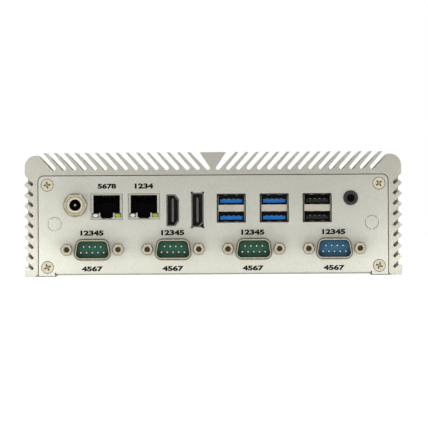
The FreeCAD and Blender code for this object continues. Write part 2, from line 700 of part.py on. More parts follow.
def io_panel():
    y = (FRONT - OVER, SEAT_FRONT + OVER)
    tools = [screw_seat(x, z, FRONT, 1) for x, z in panel_screw_places()]
    tools += [knockout(x) for x in (KNOCKOUT_INSET - PANEL_HALF, PANEL_HALF - KNOCKOUT_INSET)]
    tools.append(rod_y(DC_X, DC_Z, DC_THREAD_R + PORT_PLAY, y))
    width = NETWORK_WIDTH + 2 * PORT_PLAY
    height = NETWORK_HEIGHT + 2 * PORT_PLAY
    for x in NETWORK_XS:
        tools.append(prism(rectangle(middle(x, width), middle(NETWORK_Z, height), CUTOUT_R), y))
    tools.append(prism(video_a_outline(PORT_PLAY), y))
    width = VIDEO_B_WIDTH + 2 * PORT_PLAY
    height = VIDEO_B_HEIGHT + 2 * PORT_PLAY
    tools.append(prism(rectangle(middle(VIDEO_B_X, width), middle(VIDEO_B_Z, height)), y))
    for ear_x in middle(VIDEO_B_X, width - VIDEO_B_EAR_R):
        for ear_z in middle(VIDEO_B_Z, height):
            tools.append(rod_y(ear_x, ear_z, VIDEO_B_EAR_R, y))
    for x in USB_XS:
        tools.append(prism(rectangle(middle(x, USB_CUTOUT), middle(USB_Z, USB_CUTOUT), CUTOUT_R), y))
    tools.append(rod_y(AUDIO_X, AUDIO_Z, AUDIO_R + PORT_PLAY, y))
    for x in SERIAL_XS:
        tools.append(prism(d_outline(x, SERIAL_COLLAR + PORT_PLAY), y))
        for screw_x in middle(x, JACKSCREW_SPACING):
            tools.append(rod_y(screw_x, SERIAL_Z, JACKSCREW_STUD_R + SEAT_PLAY, y))
    return panel_blank().cut(tools)


def rear_panel():
    """A plate over the whole rear end, up to the floor of the fins."""
    y = (SEAT_BACK - OVER, BACK + OVER)
    tools = [screw_seat(x, z, BACK, -1) for x, z in panel_screw_places()]
    tools.append(rod_y(BUTTON_X, BUTTON_Z, BUTTON_BARREL_R + 2 * CLIP_PLAY, y))
    for x in lamp_xs():
        tools.append(rod_y(x, BUTTON_Z, LAMP_R + CLIP_PLAY, y))
    side = CASE_HALF - REAR_INSET
    top = GAP_FLOOR - REAR_INSET
    corners = [(side, PANEL_TAB_Z, 0), (side, top, REAR_CORNER_R)]
    corners += [(-x, z, r) for x, z, r in reversed(corners)]
    return prism(corners, (SEAT_BACK, BACK)).cut(tools)


def lamp_xs():
    first = BUTTON_X + BUTTON_FLANGE_R + LAMP_PITCH
    return [first + i * LAMP_PITCH for i in range(LAMP_COUNT)]


def base_plate():
    y = (SEAT_FRONT + PANEL_GAP, SEAT_BACK - PANEL_GAP)
    plate = box(middle(0, 2 * (BOSS_X - PANEL_GAP)), y, (PLATE_BOTTOM, PLATE_TOP))
    holes = []
    for x, y in plate_screw_places():
        seat = countersink(PLATE_THICKNESS + OVER)
        seat.rotate(vec(0, 0, 0), vec(1, 0, 0), 180)
        seat.translate(vec(x, y, PLATE_BOTTOM))
        holes.append(seat)
    for x, y in tray_screw_places() + serial_spacer_places():
        holes.append(rod_z(x, y, SCREW_R + SEAT_PLAY, (PLATE_BOTTOM - OVER, PLATE_TOP + OVER)))
    return plate.cut(holes)


def base_plate_screws():
    length = PLATE_THICKNESS + LEDGE_THICKNESS - SCREW_SINK
    screws = []
    for (x, y), turn in zip(plate_screw_places(), SCREW_TURNS + SCREW_TURNS):
        screw = countersunk_screw(length, turn)
        screw.rotate(vec(0, 0, 0), vec(1, 0, 0), 180)
        screw.translate(vec(x, y, PLATE_BOTTOM + SCREW_SINK))
        screws.append(screw)
    return screws


# ---------------------------------------------------------------- upper row of ports

def feet(x, y, z, spread_x, spread_y):
    """Four solder feet from the top of a port, at z, to the underside of the board."""
    places = [(fx, fy) for fx in middle(x, spread_x) for fy in middle(y, spread_y)]
    rise = (z - 2 * JOIN, BOARD_BOTTOM)
    return [box(middle(fx, PIN_FOOT), middle(fy, PIN_FOOT), rise) for fx, fy in places]


def dc_barrel():
    outside = fuse([
        rod_y(DC_X, DC_Z, DC_SLEEVE_R, (FRONT - DC_PROUD, FRONT)),
        rod_y(DC_X, DC_Z, DC_THREAD_R, (FRONT - DC_THREAD_PROUD, SEAT_FRONT)),
        rod_y(DC_X, DC_Z, DC_BODY / 2 - EDGE, (SEAT_FRONT, SEAT_FRONT + DC_SHOULDER)),
    ])
    rim = FRONT - DC_PROUD
    bore = rod_y(DC_X, DC_Z, DC_BORE_R, (rim - OVER, SEAT_FRONT + DC_SHOULDER + OVER))
    mouth = cone_y(DC_X, DC_Z, (DC_BORE_R + DC_MOUTH, DC_BORE_R), (rim, rim + DC_MOUTH))
    return outside.cut([bore, mouth])


def dc_housing():
    y0 = SEAT_FRONT + DC_SHOULDER
    block = box(middle(DC_X, DC_BODY), (y0, y0 + DC_BODY_DEPTH), middle(DC_Z, DC_BODY))
    return block.cut(rod_y(DC_X, DC_Z, DC_PIN_R, (y0 - OVER, y0 + DC_BODY_DEPTH / 2)))


def dc_pin():
    tip = FRONT - DC_PROUD + DC_PIN_DROP
    back = SEAT_FRONT + DC_SHOULDER + DC_BODY_DEPTH / 2
    shaft = rod_y(DC_X, DC_Z, DC_PIN_R, (tip + DC_PIN_R / 2, back))
    nose = cone_y(DC_X, DC_Z, (DC_PIN_R / 2, DC_PIN_R), (tip, tip + DC_PIN_R / 2))
    return fuse([shaft, nose])


def dc_nut():
    y = (FRONT - DC_NUT_HEIGHT - DC_WASHER, FRONT - DC_WASHER)
    return crowned_hexagon(DC_X, DC_Z, DC_NUT_FLATS, y).cut(
        rod_y(DC_X, DC_Z, DC_THREAD_R + CLIP_PLAY, (y[0] - OVER, y[1] + OVER)))


def dc_washer():
    y = (FRONT - DC_WASHER, FRONT)
    disc = rod_y(DC_X, DC_Z, DC_NUT_FLATS / 2 + DC_WASHER_RIM, y)
    return disc.cut(rod_y(DC_X, DC_Z, DC_THREAD_R + 2 * CLIP_PLAY, (y[0] - OVER, y[1] + OVER)))


def network_top():
    return NETWORK_Z + NETWORK_HEIGHT / 2


def network_bottom():
    return NETWORK_Z - NETWORK_HEIGHT / 2


def network_lamp_z():
    """The low and high sides of the lamps under the opening."""
    low = network_bottom() + NETWORK_SHEET + NETWORK_RIM
    return (low, low + NETWORK_LAMP_HEIGHT)


def network_floor():
    return network_lamp_z()[1] - NETWORK_RIM + NETWORK_LAMP_BAR


def network_latch(x, low, high, y, play):
    """The channel in the floor of a jack that a plug's latch runs in."""
    return box(middle(x, NETWORK_LATCH_WIDTH + 2 * play), y, (low, high))


def network_cavity(x, y):
    width = NETWORK_CAVITY_WIDTH - 4 * CLIP_PLAY
    wide = box(middle(x, width), y, (network_floor(), network_top() - NETWORK_ROOF))
    low = network_bottom() + NETWORK_SILL
    return wide.fuse(network_latch(x, low, network_floor() + OVER, y, NETWORK_LATCH_PLAY))


def network_cavity_back():
    return FRONT + FACE_RECESS + NETWORK_DEPTH - NETWORK_SHEET - CLIP_PLAY - NETWORK_BACK_WALL


def network_shell(x):
    y = (FRONT + FACE_RECESS, FRONT + FACE_RECESS + NETWORK_DEPTH)
    face_y = (y[0] - OVER, y[0] + OVER)
    outline = rectangle(middle(x, NETWORK_WIDTH), (network_bottom(), network_top()), NETWORK_SHEET_R)
    inside = box(middle(x, NETWORK_WIDTH - 2 * NETWORK_SHEET), (y[0] + NETWORK_SHEET, y[1] - NETWORK_SHEET),
                 (network_bottom() + NETWORK_SHEET, network_top() - NETWORK_SHEET))
    window = box(middle(x, NETWORK_CAVITY_WIDTH), face_y, (network_floor(), network_top() - NETWORK_RIM))
    lamp_z = (network_lamp_z()[0], network_floor())
    lamps = [box(span, face_y, lamp_z) for span in network_lamp_spans(x)]
    centre = box(middle(x, NETWORK_CAVITY_WIDTH - 2 * NETWORK_LAMP_WIDTH), face_y, lamp_z)
    latch_y = (y[0] - OVER, y[0] + NETWORK_LATCH_DEPTH)
    latch = network_latch(x, network_bottom() - OVER, network_floor() + OVER, latch_y, 0)
    shell = prism(outline, y).cut([inside, window, centre, latch] + lamps)
    return fuse([shell] + feet(x, sum(y) / 2, network_top(), NETWORK_WIDTH - 1, NETWORK_DEPTH / 2))


def network_lamp_spans(x):
    edge = NETWORK_WIDTH / 2 - NETWORK_SHEET - NETWORK_LAMP_EDGE
    return [(x - edge, x - edge + NETWORK_LAMP_WIDTH), (x + edge - NETWORK_LAMP_WIDTH, x + edge)]


def network_lamp(x, side):
    low, high = network_lamp_z()
    span = network_lamp_spans(x)[side]
    y = (FRONT + 2 * FACE_RECESS, FRONT + NETWORK_LAMP_DEPTH)
    return box((span[0] + CLIP_PLAY, span[1] - CLIP_PLAY), y, (low + CLIP_PLAY, high))


def network_housing(x):
    sheet = NETWORK_SHEET + CLIP_PLAY
    y = (FRONT + FACE_RECESS + sheet, FRONT + FACE_RECESS + NETWORK_DEPTH - sheet)
    latch_y = (y[0] - OVER, y[0] + NETWORK_LATCH_DEPTH)
    tools = [network_cavity(x, (y[0] - OVER, network_cavity_back())),
             network_latch(x, network_bottom() - OVER, network_floor(), latch_y, 0)]
    low, high = network_lamp_z()
    for span in network_lamp_spans(x):
        tools.append(box(span, (y[0] - OVER, FRONT + NETWORK_LAMP_DEPTH + JOIN), (low, high + CLIP_PLAY)))
    block = box(middle(x, NETWORK_WIDTH - 2 * sheet), y, (network_bottom() + sheet, network_top() - sheet))
    return block.cut(tools)


def network_contacts(x):
    """Sprung wires that slant back from the roof of the cavity."""
    y = (FRONT + NETWORK_LATCH_DEPTH, network_cavity_back() - CLIP_PLAY)
    high = network_top() - NETWORK_ROOF - JOIN
    low = high - NETWORK_WIRE_FALL
    profile = [(y[0], high), (y[1], low), (y[1], low - NETWORK_WIRE), (y[0], high - NETWORK_WIRE)]
    face = Part.Face(Part.makePolygon([vec(0, py, pz) for py, pz in profile + profile[:1]]))
    wires = []
    for i in range(NETWORK_CONTACTS):
        wire = face.extrude(vec(NETWORK_WIRE, 0, 0))
        wire_x = x + (i - (NETWORK_CONTACTS - 1) / 2) * NETWORK_CONTACT_PITCH
        wire.translate(vec(wire_x - NETWORK_WIRE / 2, 0, 0))
        wires.append(wire)
    return wires


def video_a_outline(grow):
    half_w = VIDEO_A_WIDTH / 2 + grow
    half_h = VIDEO_A_HEIGHT / 2 + grow
    bevel_x = half_w - VIDEO_A_BEVEL_X
    bevel_z = half_h - VIDEO_A_BEVEL_Z
    corners = [(-half_w, -half_h), (bevel_x, -half_h), (half_w, -bevel_z),
               (half_w, bevel_z), (bevel_x, half_h), (-half_w, half_h)]
    return [(VIDEO_A_X + x, VIDEO_A_Z + z, VIDEO_R) for x, z in corners]


def video_b_outline(grow):
    half_w = VIDEO_B_WIDTH / 2 + grow
    half_h = VIDEO_B_HEIGHT / 2 + grow
    corners = [(-half_w, -half_h), (half_w - VIDEO_B_BEVEL, -half_h), (half_w, VIDEO_B_BEVEL - half_h),
               (half_w, half_h), (-half_w, half_h)]
    return [(VIDEO_B_X + x, VIDEO_B_Z + z, VIDEO_R) for x, z in corners]


def video_shell(outline, x, top):
    y = (FRONT + VIDEO_RECESS, FRONT + VIDEO_RECESS + VIDEO_DEPTH)
    tube = prism(outline(0), y).cut(prism(outline(-VIDEO_SHEET), (y[0] - OVER, y[1] + OVER)))
    return fuse([tube] + feet(x - PIN_FOOT, sum(y) / 2, top, VIDEO_FOOT_SPREAD, VIDEO_DEPTH / 2))


def video_insert(outline, x, z, tongue_height):
    back = FRONT + VIDEO_RECESS + VIDEO_DEPTH
    block = prism(outline(-VIDEO_SHEET - CLIP_PLAY), (back - VIDEO_BACK_WALL, back))
    y = (FRONT + VIDEO_TONGUE_RECESS, back - VIDEO_BACK_WALL + JOIN)
    tongue = box(middle(x, VIDEO_TONGUE), y, middle(z, tongue_height))
    return fuse([block, tongue])


def video_contacts(x, z, tongue_height):
    """Flat contacts on both faces of the tongue."""
    front = FRONT + VIDEO_TONGUE_RECESS + VIDEO_CONTACT_WIDTH
    y = (front, FRONT + VIDEO_RECESS + VIDEO_DEPTH - VIDEO_BACK_WALL - CLIP_PLAY)
    pitch = (tongue_height - 2 * VIDEO_CONTACT_WIDTH) / VIDEO_CONTACTS
    near = VIDEO_TONGUE / 2
    far = near + VIDEO_CONTACT_RISE
    pads = []
    for i in range(VIDEO_CONTACTS):
        pad_z = middle(z + (i - (VIDEO_CONTACTS - 1) / 2) * pitch, VIDEO_CONTACT_WIDTH)
        pads.append(box((x - far, x - near), y, pad_z))
        pads.append(box((x + near, x + far), y, pad_z))
    return pads


def usb_ports_z():
    """The low and high sides of the lower and of the upper opening in a stack."""
    half_bar = USB_BAR / 2
    half = USB_HEIGHT / 2 - USB_SHEET
    return [(USB_Z - half, USB_Z - half_bar), (USB_Z + half_bar, USB_Z + half)]


def usb_shell(x):
    y = (FRONT + USB_RECESS, FRONT + USB_RECESS + USB_DEPTH)
    outside = prism(rectangle(middle(x, USB_WIDTH), middle(USB_Z, USB_HEIGHT), USB_SHEET_R), y)
    bore = USB_WIDTH - 2 * USB_SHEET
    ends = (y[0] - OVER, y[1] - USB_SHEET)
    holes = [prism(rectangle(middle(x, bore), z, USB_BORE_R), ends) for z in usb_ports_z()]
    hollow_z = middle(USB_Z, USB_BAR - 2 * USB_SHEET)
    hollow_bar = box(middle(x, bore), (y[0] + USB_SHEET, y[1] + OVER), hollow_z)
    shell = outside.cut(holes + [hollow_bar])
    return fuse([shell] + feet(x, sum(y) / 2, USB_Z + USB_HEIGHT / 2, USB_WIDTH - 1, USB_DEPTH / 2))


def usb_insert(x, z):
    """The moulding of one opening: a rear wall, and a tongue along the lower part of the opening."""
    bore = middle(x, USB_WIDTH - 2 * USB_SHEET - 2 * CLIP_PLAY)
    back = FRONT + USB_RECESS + USB_DEPTH - USB_SHEET - CLIP_PLAY
    wall_front = back - USB_BACK_WALL
    wall_z = (z[0] + CLIP_PLAY, z[1] - CLIP_PLAY)
    wall = prism(rectangle(bore, wall_z, USB_BORE_R), (wall_front, back))
    y = (FRONT + USB_RECESS + USB_TONGUE_RECESS, wall_front + JOIN)
    low = z[0] + USB_TONGUE_RISE
    return fuse([wall, box(middle(x, USB_TONGUE_WIDTH), y, (low, low + USB_TONGUE_HEIGHT))])


def usb_contacts(x, z):
    low = z[0] + USB_TONGUE_RISE + USB_TONGUE_HEIGHT
    rise = (low, low + USB_CONTACT_RISE)
    front = FRONT + USB_RECESS + 2 * USB_TONGUE_RECESS
    y = (front, front + USB_CONTACT_LENGTH)
    places = [x + (i - (USB_CONTACTS - 1) / 2) * USB_CONTACT_PITCH for i in range(USB_CONTACTS)]
    return [box(middle(place, USB_CONTACT_WIDTH), y, rise) for place in places]


def audio_jack():
    mouth = FRONT - AUDIO_PROUD
    collar = rod_y(AUDIO_X, AUDIO_Z, AUDIO_R, (mouth + AUDIO_LIP, SEAT_FRONT + AUDIO_BODY_GAP + JOIN))
    lip = cone_y(AUDIO_X, AUDIO_Z, (AUDIO_R - EDGE, AUDIO_R), (mouth, mouth + AUDIO_LIP))
    y = (SEAT_FRONT + AUDIO_BODY_GAP, SEAT_FRONT + AUDIO_BODY_GAP + AUDIO_DEPTH)
    body = box(middle(AUDIO_X, AUDIO_BODY), y, (AUDIO_Z - AUDIO_R, BOARD_BOTTOM))
    bore = rod_y(AUDIO_X, AUDIO_Z, AUDIO_BORE_R, (mouth - OVER, y[1] - AUDIO_BACK_WALL))
    dish = cone_y(AUDIO_X, AUDIO_Z, (AUDIO_BORE_R + AUDIO_DISH, AUDIO_BORE_R), (mouth, mouth + AUDIO_DISH))
    groove = rod_y(AUDIO_X, AUDIO_Z, AUDIO_BORE_R + AUDIO_RING, AUDIO_RING_Y)
    return fuse([collar, lip, body]).cut([bore, dish, groove])


def audio_ring():
    """A contact ring let into the wall of the bore."""
    disc = rod_y(AUDIO_X, AUDIO_Z, AUDIO_BORE_R + AUDIO_RING, AUDIO_RING_Y)
    hole_y = (AUDIO_RING_Y[0] - OVER, AUDIO_RING_Y[1] + OVER)
    return disc.cut(rod_y(AUDIO_X, AUDIO_Z, AUDIO_BORE_R, hole_y))


# ---------------------------------------------------------------- serial ports

def d_outline(x, grow):
    """The D of a nine-way port, wide side down."""
    half_h = SERIAL_HEIGHT / 2 + grow
    low = SERIAL_WIDTH / 2 + grow
    high = low - 2 * half_h * math.tan(SERIAL_SLANT)
    r = SERIAL_CORNER_R + grow
    corners = [(-low, -half_h, r), (low, -half_h, r), (high, half_h, r), (-high, half_h, r)]
    return [(x + cx, SERIAL_Z + cz, cr) for cx, cz, cr in corners]


def flange_outline(x):
    return rectangle(middle(x, SERIAL_FLANGE_WIDTH), middle(SERIAL_Z, SERIAL_FLANGE_HEIGHT), SERIAL_FLANGE_R)


def jackscrew_holes(x, r, y):
    return [rod_y(screw_x, SERIAL_Z, r, y) for screw_x in middle(x, JACKSCREW_SPACING)]


def serial_shell(x):
    rim = FRONT - SERIAL_PROUD
    shape = fuse([
        prism(flange_outline(x), (SEAT_FRONT, SERIAL_BOARD_FRONT)),
        prism(d_outline(x, SERIAL_COLLAR), (FRONT - SERIAL_COLLAR_PROUD, SEAT_FRONT)),
        prism(d_outline(x, 0), (rim, FRONT)),
    ])
    inside = prism(d_outline(x, -SERIAL_SHEET), (rim - OVER, SERIAL_BOARD_FRONT + OVER))
    hole_y = (SEAT_FRONT - OVER, SERIAL_BOARD_FRONT + OVER)
    return shape.cut([inside] + jackscrew_holes(x, JACKSCREW_STUD_R + SCREW_PLAY, hole_y))


def serial_insert(x):
    plug_y = (FRONT - SERIAL_PROUD + SERIAL_INSERT_RECESS, SERIAL_BOARD_FRONT + JOIN)
    plug = prism(d_outline(x, -SERIAL_SHEET - SERIAL_INSERT_PLAY), plug_y)
    body = prism(flange_outline(x), (SERIAL_BOARD_FRONT, SERIAL_BODY_BACK))
    hole_y = (SERIAL_BOARD_FRONT - OVER, SERIAL_BODY_BACK + OVER)
    holes = jackscrew_holes(x, JACKSCREW_STUD_R + SCREW_PLAY, hole_y)
    return fuse([plug, body]).cut(holes + pin_rods(x, SERIAL_BODY_BACK + OVER))


def pin_places(x):
    """A full lower row of pins, and an upper row with one less."""
    places = []
    for columns, side in ((PIN_COLUMNS, -1), (PIN_COLUMNS - 1, 1)):
        first = x - (columns - 1) * PIN_PITCH / 2
        pin_z = SERIAL_Z + side * PIN_ROW_GAP / 2
        places += [(first + i * PIN_PITCH, pin_z) for i in range(columns)]
    return places


def pin_rods(x, back):
    """Round-nosed pins that stop a little inside the rim of the shell."""
    tip = FRONT - SERIAL_PROUD + PIN_DROP
    rods = []
    for px, pz in pin_places(x):
        shaft = rod_y(px, pz, PIN_R, (tip + PIN_NOSE, back))
        rods.append(fuse([shaft, cone_y(px, pz, (PIN_R / 2, PIN_R), (tip, tip + PIN_NOSE))]))
    return rods


def jackscrews(x):
    top = FRONT - JACKSCREW_PROUD
    mouth_r = (JACKSCREW_THREAD_R + EDGE, JACKSCREW_THREAD_R)
    screws = []
    for screw_x in middle(x, JACKSCREW_SPACING):
        head = crowned_hexagon(screw_x, SERIAL_Z, JACKSCREW_FLATS, (top, FRONT))
        stud_y = (FRONT - JOIN, SERIAL_BOARD_FRONT + JACKSCREW_STUD_END)
        stud = rod_y(screw_x, SERIAL_Z, JACKSCREW_STUD_R, stud_y)
        thread = rod_y(screw_x, SERIAL_Z, JACKSCREW_THREAD_R, (top - OVER, FRONT - EDGE))
        mouth = cone_y(screw_x, SERIAL_Z, mouth_r, (top, top + EDGE))
        screws.append(fuse([head, stud]).cut([thread, mouth]))
    return screws


# ---------------------------------------------------------------- inside

def holed(plate, places, z):
    """A level plate with plain holes for screws."""
    return plate.cut([rod_z(x, y, SCREW_R + SEAT_PLAY, (z[0] - OVER, z[1] + OVER)) for x, y in places])


def main_board():
    z = (BOARD_BOTTOM, BOARD_TOP)
    plate = box(middle(0, BOARD_WIDTH), (BOARD_FRONT, BOARD_BACK), z)
    return holed(plate, board_hole_places(), z)


def standoffs():
    posts = []
    for x, y in board_hole_places():
        post = hexagon_z(x, y, STANDOFF_FLATS, (BOARD_TOP, ROOF))
        stud = rod_z(x, y, SCREW_R - SCREW_PLAY, (ROOF - JOIN, POCKET_TOP - SCREW_END_GAP))
        thread = rod_z(x, y, SCREW_R, (BOARD_TOP - OVER, ROOF - STANDOFF_FLOOR))
        posts.append(fuse([post, stud]).cut(thread))
    return posts


def pan_screw(x, y, z, length, up):
    """A pan-head screw whose head seats at z; up is 1 when it goes in upward."""
    head_z = sorted((z, z - up * PAN_HEAD_HEIGHT))
    shank_z = sorted((z - up * JOIN, z + up * length))
    return fuse([rod_z(x, y, PAN_HEAD_R, head_z), rod_z(x, y, SCREW_R - SCREW_PLAY, shank_z)])


def board_screws():
    length = BOARD_THICKNESS + BOARD_HEADROOM - STANDOFF_FLOOR - SCREW_END_GAP
    return [pan_screw(x, y, BOARD_BOTTOM, length, 1) for x, y in board_hole_places()]


def processor_package():
    size = middle(0, PACKAGE_SIZE)
    return box(size, size, (BOARD_TOP, BOARD_TOP + PACKAGE_HEIGHT))


def thermal_pad():
    size = middle(0, PACKAGE_SIZE - 2 * PAD_INSET)
    return box(size, size, (BOARD_TOP + PACKAGE_HEIGHT, SPREADER_BOTTOM))


def heat_spreader():
    size = middle(0, SPREADER_SIZE)
    z = (SPREADER_BOTTOM, ROOF)
    return holed(box(size, size, z), spreader_screw_places(), z)


def spreader_screws():
    length = ROOF - SPREADER_BOTTOM + SPREADER_TAP - SCREW_END_GAP
    return [pan_screw(x, y, SPREADER_BOTTOM, length, 1) for x, y in spreader_screw_places()]


def memory_y():
    return (BOARD_FRONT + MEMORY_FRONT, BOARD_FRONT + MEMORY_FRONT + MEMORY_DEPTH)


def memory_z():
    return (BOARD_BOTTOM - MEMORY_DROP - MEMORY_THICKNESS, BOARD_BOTTOM - MEMORY_DROP)


def memory_module():
    return box(middle(0, MEMORY_WIDTH), memory_y(), memory_z())


def memory_socket():
    back = memory_y()[1]
    low, high = memory_z()
    block_y = (back - MEMORY_SOCKET_GRIP, back + MEMORY_SOCKET_BACK)
    block_z = (low - MEMORY_SOCKET_LIP, BOARD_BOTTOM)
    block = box(middle(0, MEMORY_WIDTH + 2 * MEMORY_SOCKET_END), block_y, block_z)
    slot = box(middle(0, MEMORY_WIDTH + 2 * CLIP_PLAY),
               (back - MEMORY_SOCKET_GRIP - OVER, back + CLIP_PLAY), (low - CLIP_PLAY, high + CLIP_PLAY))
    return block.cut(slot)


def cell_place():
    return (BOARD_WIDTH / 2 - CELL_INSET_X, BOARD_BACK - CELL_INSET_Y)


def cell_z():
    high = BOARD_BOTTOM - CELL_HOLDER_FLOOR
    return (high - CELL_HEIGHT, high)


def clock_cell():
    x, y = cell_place()
    return rod_z(x, y, CELL_R, cell_z())


def cell_holder():
    x, y = cell_place()
    low, high = cell_z()
    outside = rod_z(x, y, CELL_R + CELL_HOLDER_WALL, (low, BOARD_BOTTOM))
    return outside.cut(rod_z(x, y, CELL_R + CLIP_PLAY, (low - OVER, high)))


def power_coils():
    """Square coils in a column at each side of the processor."""
    x = (PACKAGE_SIZE + COIL_SIZE) / 2 + COIL_GAP
    z = (BOARD_TOP, BOARD_TOP + COIL_HEIGHT)
    rows = [(i - (COIL_ROWS - 1) / 2) * COIL_PITCH for i in range(COIL_ROWS)]
    return [box(middle(side * x, COIL_SIZE), middle(y, COIL_SIZE), z) for side in (-1, 1) for y in rows]


def serial_board_y():
    return (SERIAL_BOARD_FRONT, SERIAL_BOARD_FRONT + SERIAL_BOARD_DEPTH)


def serial_spacer_x():
    return BOSS_X - LEDGE_WIDTH - SPACER_LEDGE_GAP - STANDOFF_FLATS / math.sqrt(3)


def serial_spacer_places():
    x = serial_spacer_x()
    ends = (SERIAL_BODY_BACK + SPACER_GAP, serial_board_y()[1] - SPACER_INSET)
    return [(side * x, y) for side in (-1, 1) for y in ends]


def serial_board():
    z = (SERIAL_BOARD_BOTTOM, SERIAL_BOARD_TOP)
    plate = box(middle(0, 2 * (serial_spacer_x() + SPACER_INSET)), serial_board_y(), z)
    return holed(plate, serial_spacer_places(), z)


def serial_spacers():
    spacers = []
    for x, y in serial_spacer_places():
        post = hexagon_z(x, y, STANDOFF_FLATS, (PLATE_TOP, SERIAL_BOARD_BOTTOM))
        spacers.append(post.cut(rod_z(x, y, SCREW_R, (PLATE_TOP - OVER, SERIAL_BOARD_BOTTOM + OVER))))
    return spacers


def serial_screws():
    length = SERIAL_BOARD_TOP - PLATE_BOTTOM - SCREW_END_GAP
    return [pan_screw(x, y, SERIAL_BOARD_TOP, length, -1) for x, y in serial_spacer_places()]


def tray_y():
    front = serial_board_y()[1] + TRAY_GAP
    return (front, front + DRIVE_DEPTH - 2 * TRAY_INSET)


def tray_screw_places():
    x = DRIVE_WIDTH / 2 + TRAY_SHEET + TRAY_FLANGE / 2
    front, back = tray_y()
    ends = (front + TRAY_SCREW_INSET, back - TRAY_SCREW_INSET)
    return [(side * x, y) for side in (-1, 1) for y in ends]


def drive_screw_places():
    x = DRIVE_WIDTH / 2 - DRIVE_SCREW_INSET
    front, back = tray_y()
    ends = (front + DRIVE_SCREW_INSET, back - DRIVE_SCREW_INSET)
    return [(side * x, y) for side in (-1, 1) for y in ends]


def drive_tray():
    """A folded sheet: a deck under the drive and a foot along each side."""
    side = DRIVE_WIDTH / 2
    foot_top = PLATE_TOP + TRAY_SHEET
    deck_z = (DRIVE_BOTTOM - TRAY_SHEET, DRIVE_BOTTOM)
    pieces = [box(middle(0, DRIVE_WIDTH), tray_y(), deck_z)]
    for sign in (-1, 1):
        wall_x = sorted((sign * side, sign * (side + TRAY_SHEET)))
        foot_x = sorted((sign * side, sign * (side + TRAY_SHEET + TRAY_FLANGE)))
        pieces.append(box(wall_x, tray_y(), (PLATE_TOP, DRIVE_BOTTOM)))
        pieces.append(box(foot_x, tray_y(), (PLATE_TOP, foot_top)))
    tray = holed(fuse(pieces), tray_screw_places(), (PLATE_TOP, foot_top))
    return holed(tray, drive_screw_places(), deck_z)


def drive_y():
    front = tray_y()[0] - TRAY_INSET
    return (front, front + DRIVE_DEPTH)


def drive():
    block = box(middle(0, DRIVE_WIDTH), drive_y(), (DRIVE_BOTTOM, DRIVE_TOP))
    hole_z = (DRIVE_BOTTOM - OVER, DRIVE_BOTTOM + DRIVE_HOLE_DEPTH)
    return block.cut([rod_z(x, y, SCREW_R, hole_z) for x, y in drive_screw_places()])


def drive_screws():
    length = TRAY_SHEET + DRIVE_SCREW_REACH
    return [pan_screw(x, y, DRIVE_BOTTOM - TRAY_SHEET, length, 1) for x, y in drive_screw_places()]


def tray_screws():
    length = TRAY_SHEET + PLATE_THICKNESS - SCREW_END_GAP
    return [pan_screw(x, y, PLATE_TOP + TRAY_SHEET, length, -1) for x, y in tray_screw_places()]


def flat_lead(x, y, z, bend):
    """A flat lead that rises out of one plug, turns level and rises again into the other."""
    way = 1 if y[1] > y[0] else -1
    half = LEAD_THICKNESS / 2
    level = (z[0] + z[1]) / 2
    near, far = y[0] - way * half, y[0] + way * half
    end_near, end_far = y[1] - way * half, y[1] + way * half
    outline = [
        (near, z[0], 0), (far, z[0], 0),
        (far, level - half, bend - half), (end_far, level - half, bend + half),
        (end_far, z[1], 0), (end_near, z[1], 0),
        (end_near, level + half, bend - half), (near, level + half, bend + half),
    ]
    lead = prism(outline, middle(-x, LEAD_WIDTH))
    return lead.rotated(vec(0, 0, 0), vec(0, 0, 1), 90)


def serial_lead_y():
    return (serial_board_y()[1] - PLUG_INSET, memory_y()[1] + SERIAL_LEAD_END)


def serial_lead():
    z = (SERIAL_BOARD_TOP + PLUG_HEIGHT, BOARD_BOTTOM - PLUG_HEIGHT)
    return flat_lead(SERIAL_LEAD_X, serial_lead_y(), z, SERIAL_LEAD_BEND)


def drive_lead_y():
    return (drive_y()[1] - PLUG_INSET, BOARD_BACK - DRIVE_LEAD_END)


def drive_lead():
    z = (DRIVE_TOP + PLUG_HEIGHT, BOARD_BOTTOM - PLUG_HEIGHT)
    return flat_lead(DRIVE_LEAD_X, drive_lead_y(), z, DRIVE_LEAD_BEND)


def lead_plug(x, y, z):
    return box(middle(x, LEAD_WIDTH + 2 * PLUG_RIM), middle(y, PLUG_DEPTH), (z, z + PLUG_HEIGHT))


def lead_plugs():
    high = BOARD_BOTTOM - PLUG_HEIGHT
    serial_low_y, serial_high_y = serial_lead_y()
    drive_low_y, drive_high_y = drive_lead_y()
    return [
        lead_plug(SERIAL_LEAD_X, serial_low_y, SERIAL_BOARD_TOP),
        lead_plug(SERIAL_LEAD_X, serial_high_y, high),
        lead_plug(DRIVE_LEAD_X, drive_low_y, DRIVE_TOP),
        lead_plug(DRIVE_LEAD_X, drive_high_y, high),
    ]


# ---------------------------------------------------------------- rear controls

def button_barrel():
    rim = BACK + BUTTON_FLANGE
    flange = rod_y(BUTTON_X, BUTTON_Z, BUTTON_FLANGE_R, (BACK, rim - EDGE))
    bevel = cone_y(BUTTON_X, BUTTON_Z, (BUTTON_FLANGE_R, BUTTON_FLANGE_R - BUTTON_BEVEL), (rim - EDGE, rim))
    barrel = rod_y(BUTTON_X, BUTTON_Z, BUTTON_BARREL_R, (BACK - BUTTON_DEPTH, BACK + JOIN))
    well = rod_y(BUTTON_X, BUTTON_Z, BUTTON_R + BUTTON_PLAY, (BUTTON_WELL, rim + OVER))
    return fuse([flange, bevel, barrel]).cut(well)


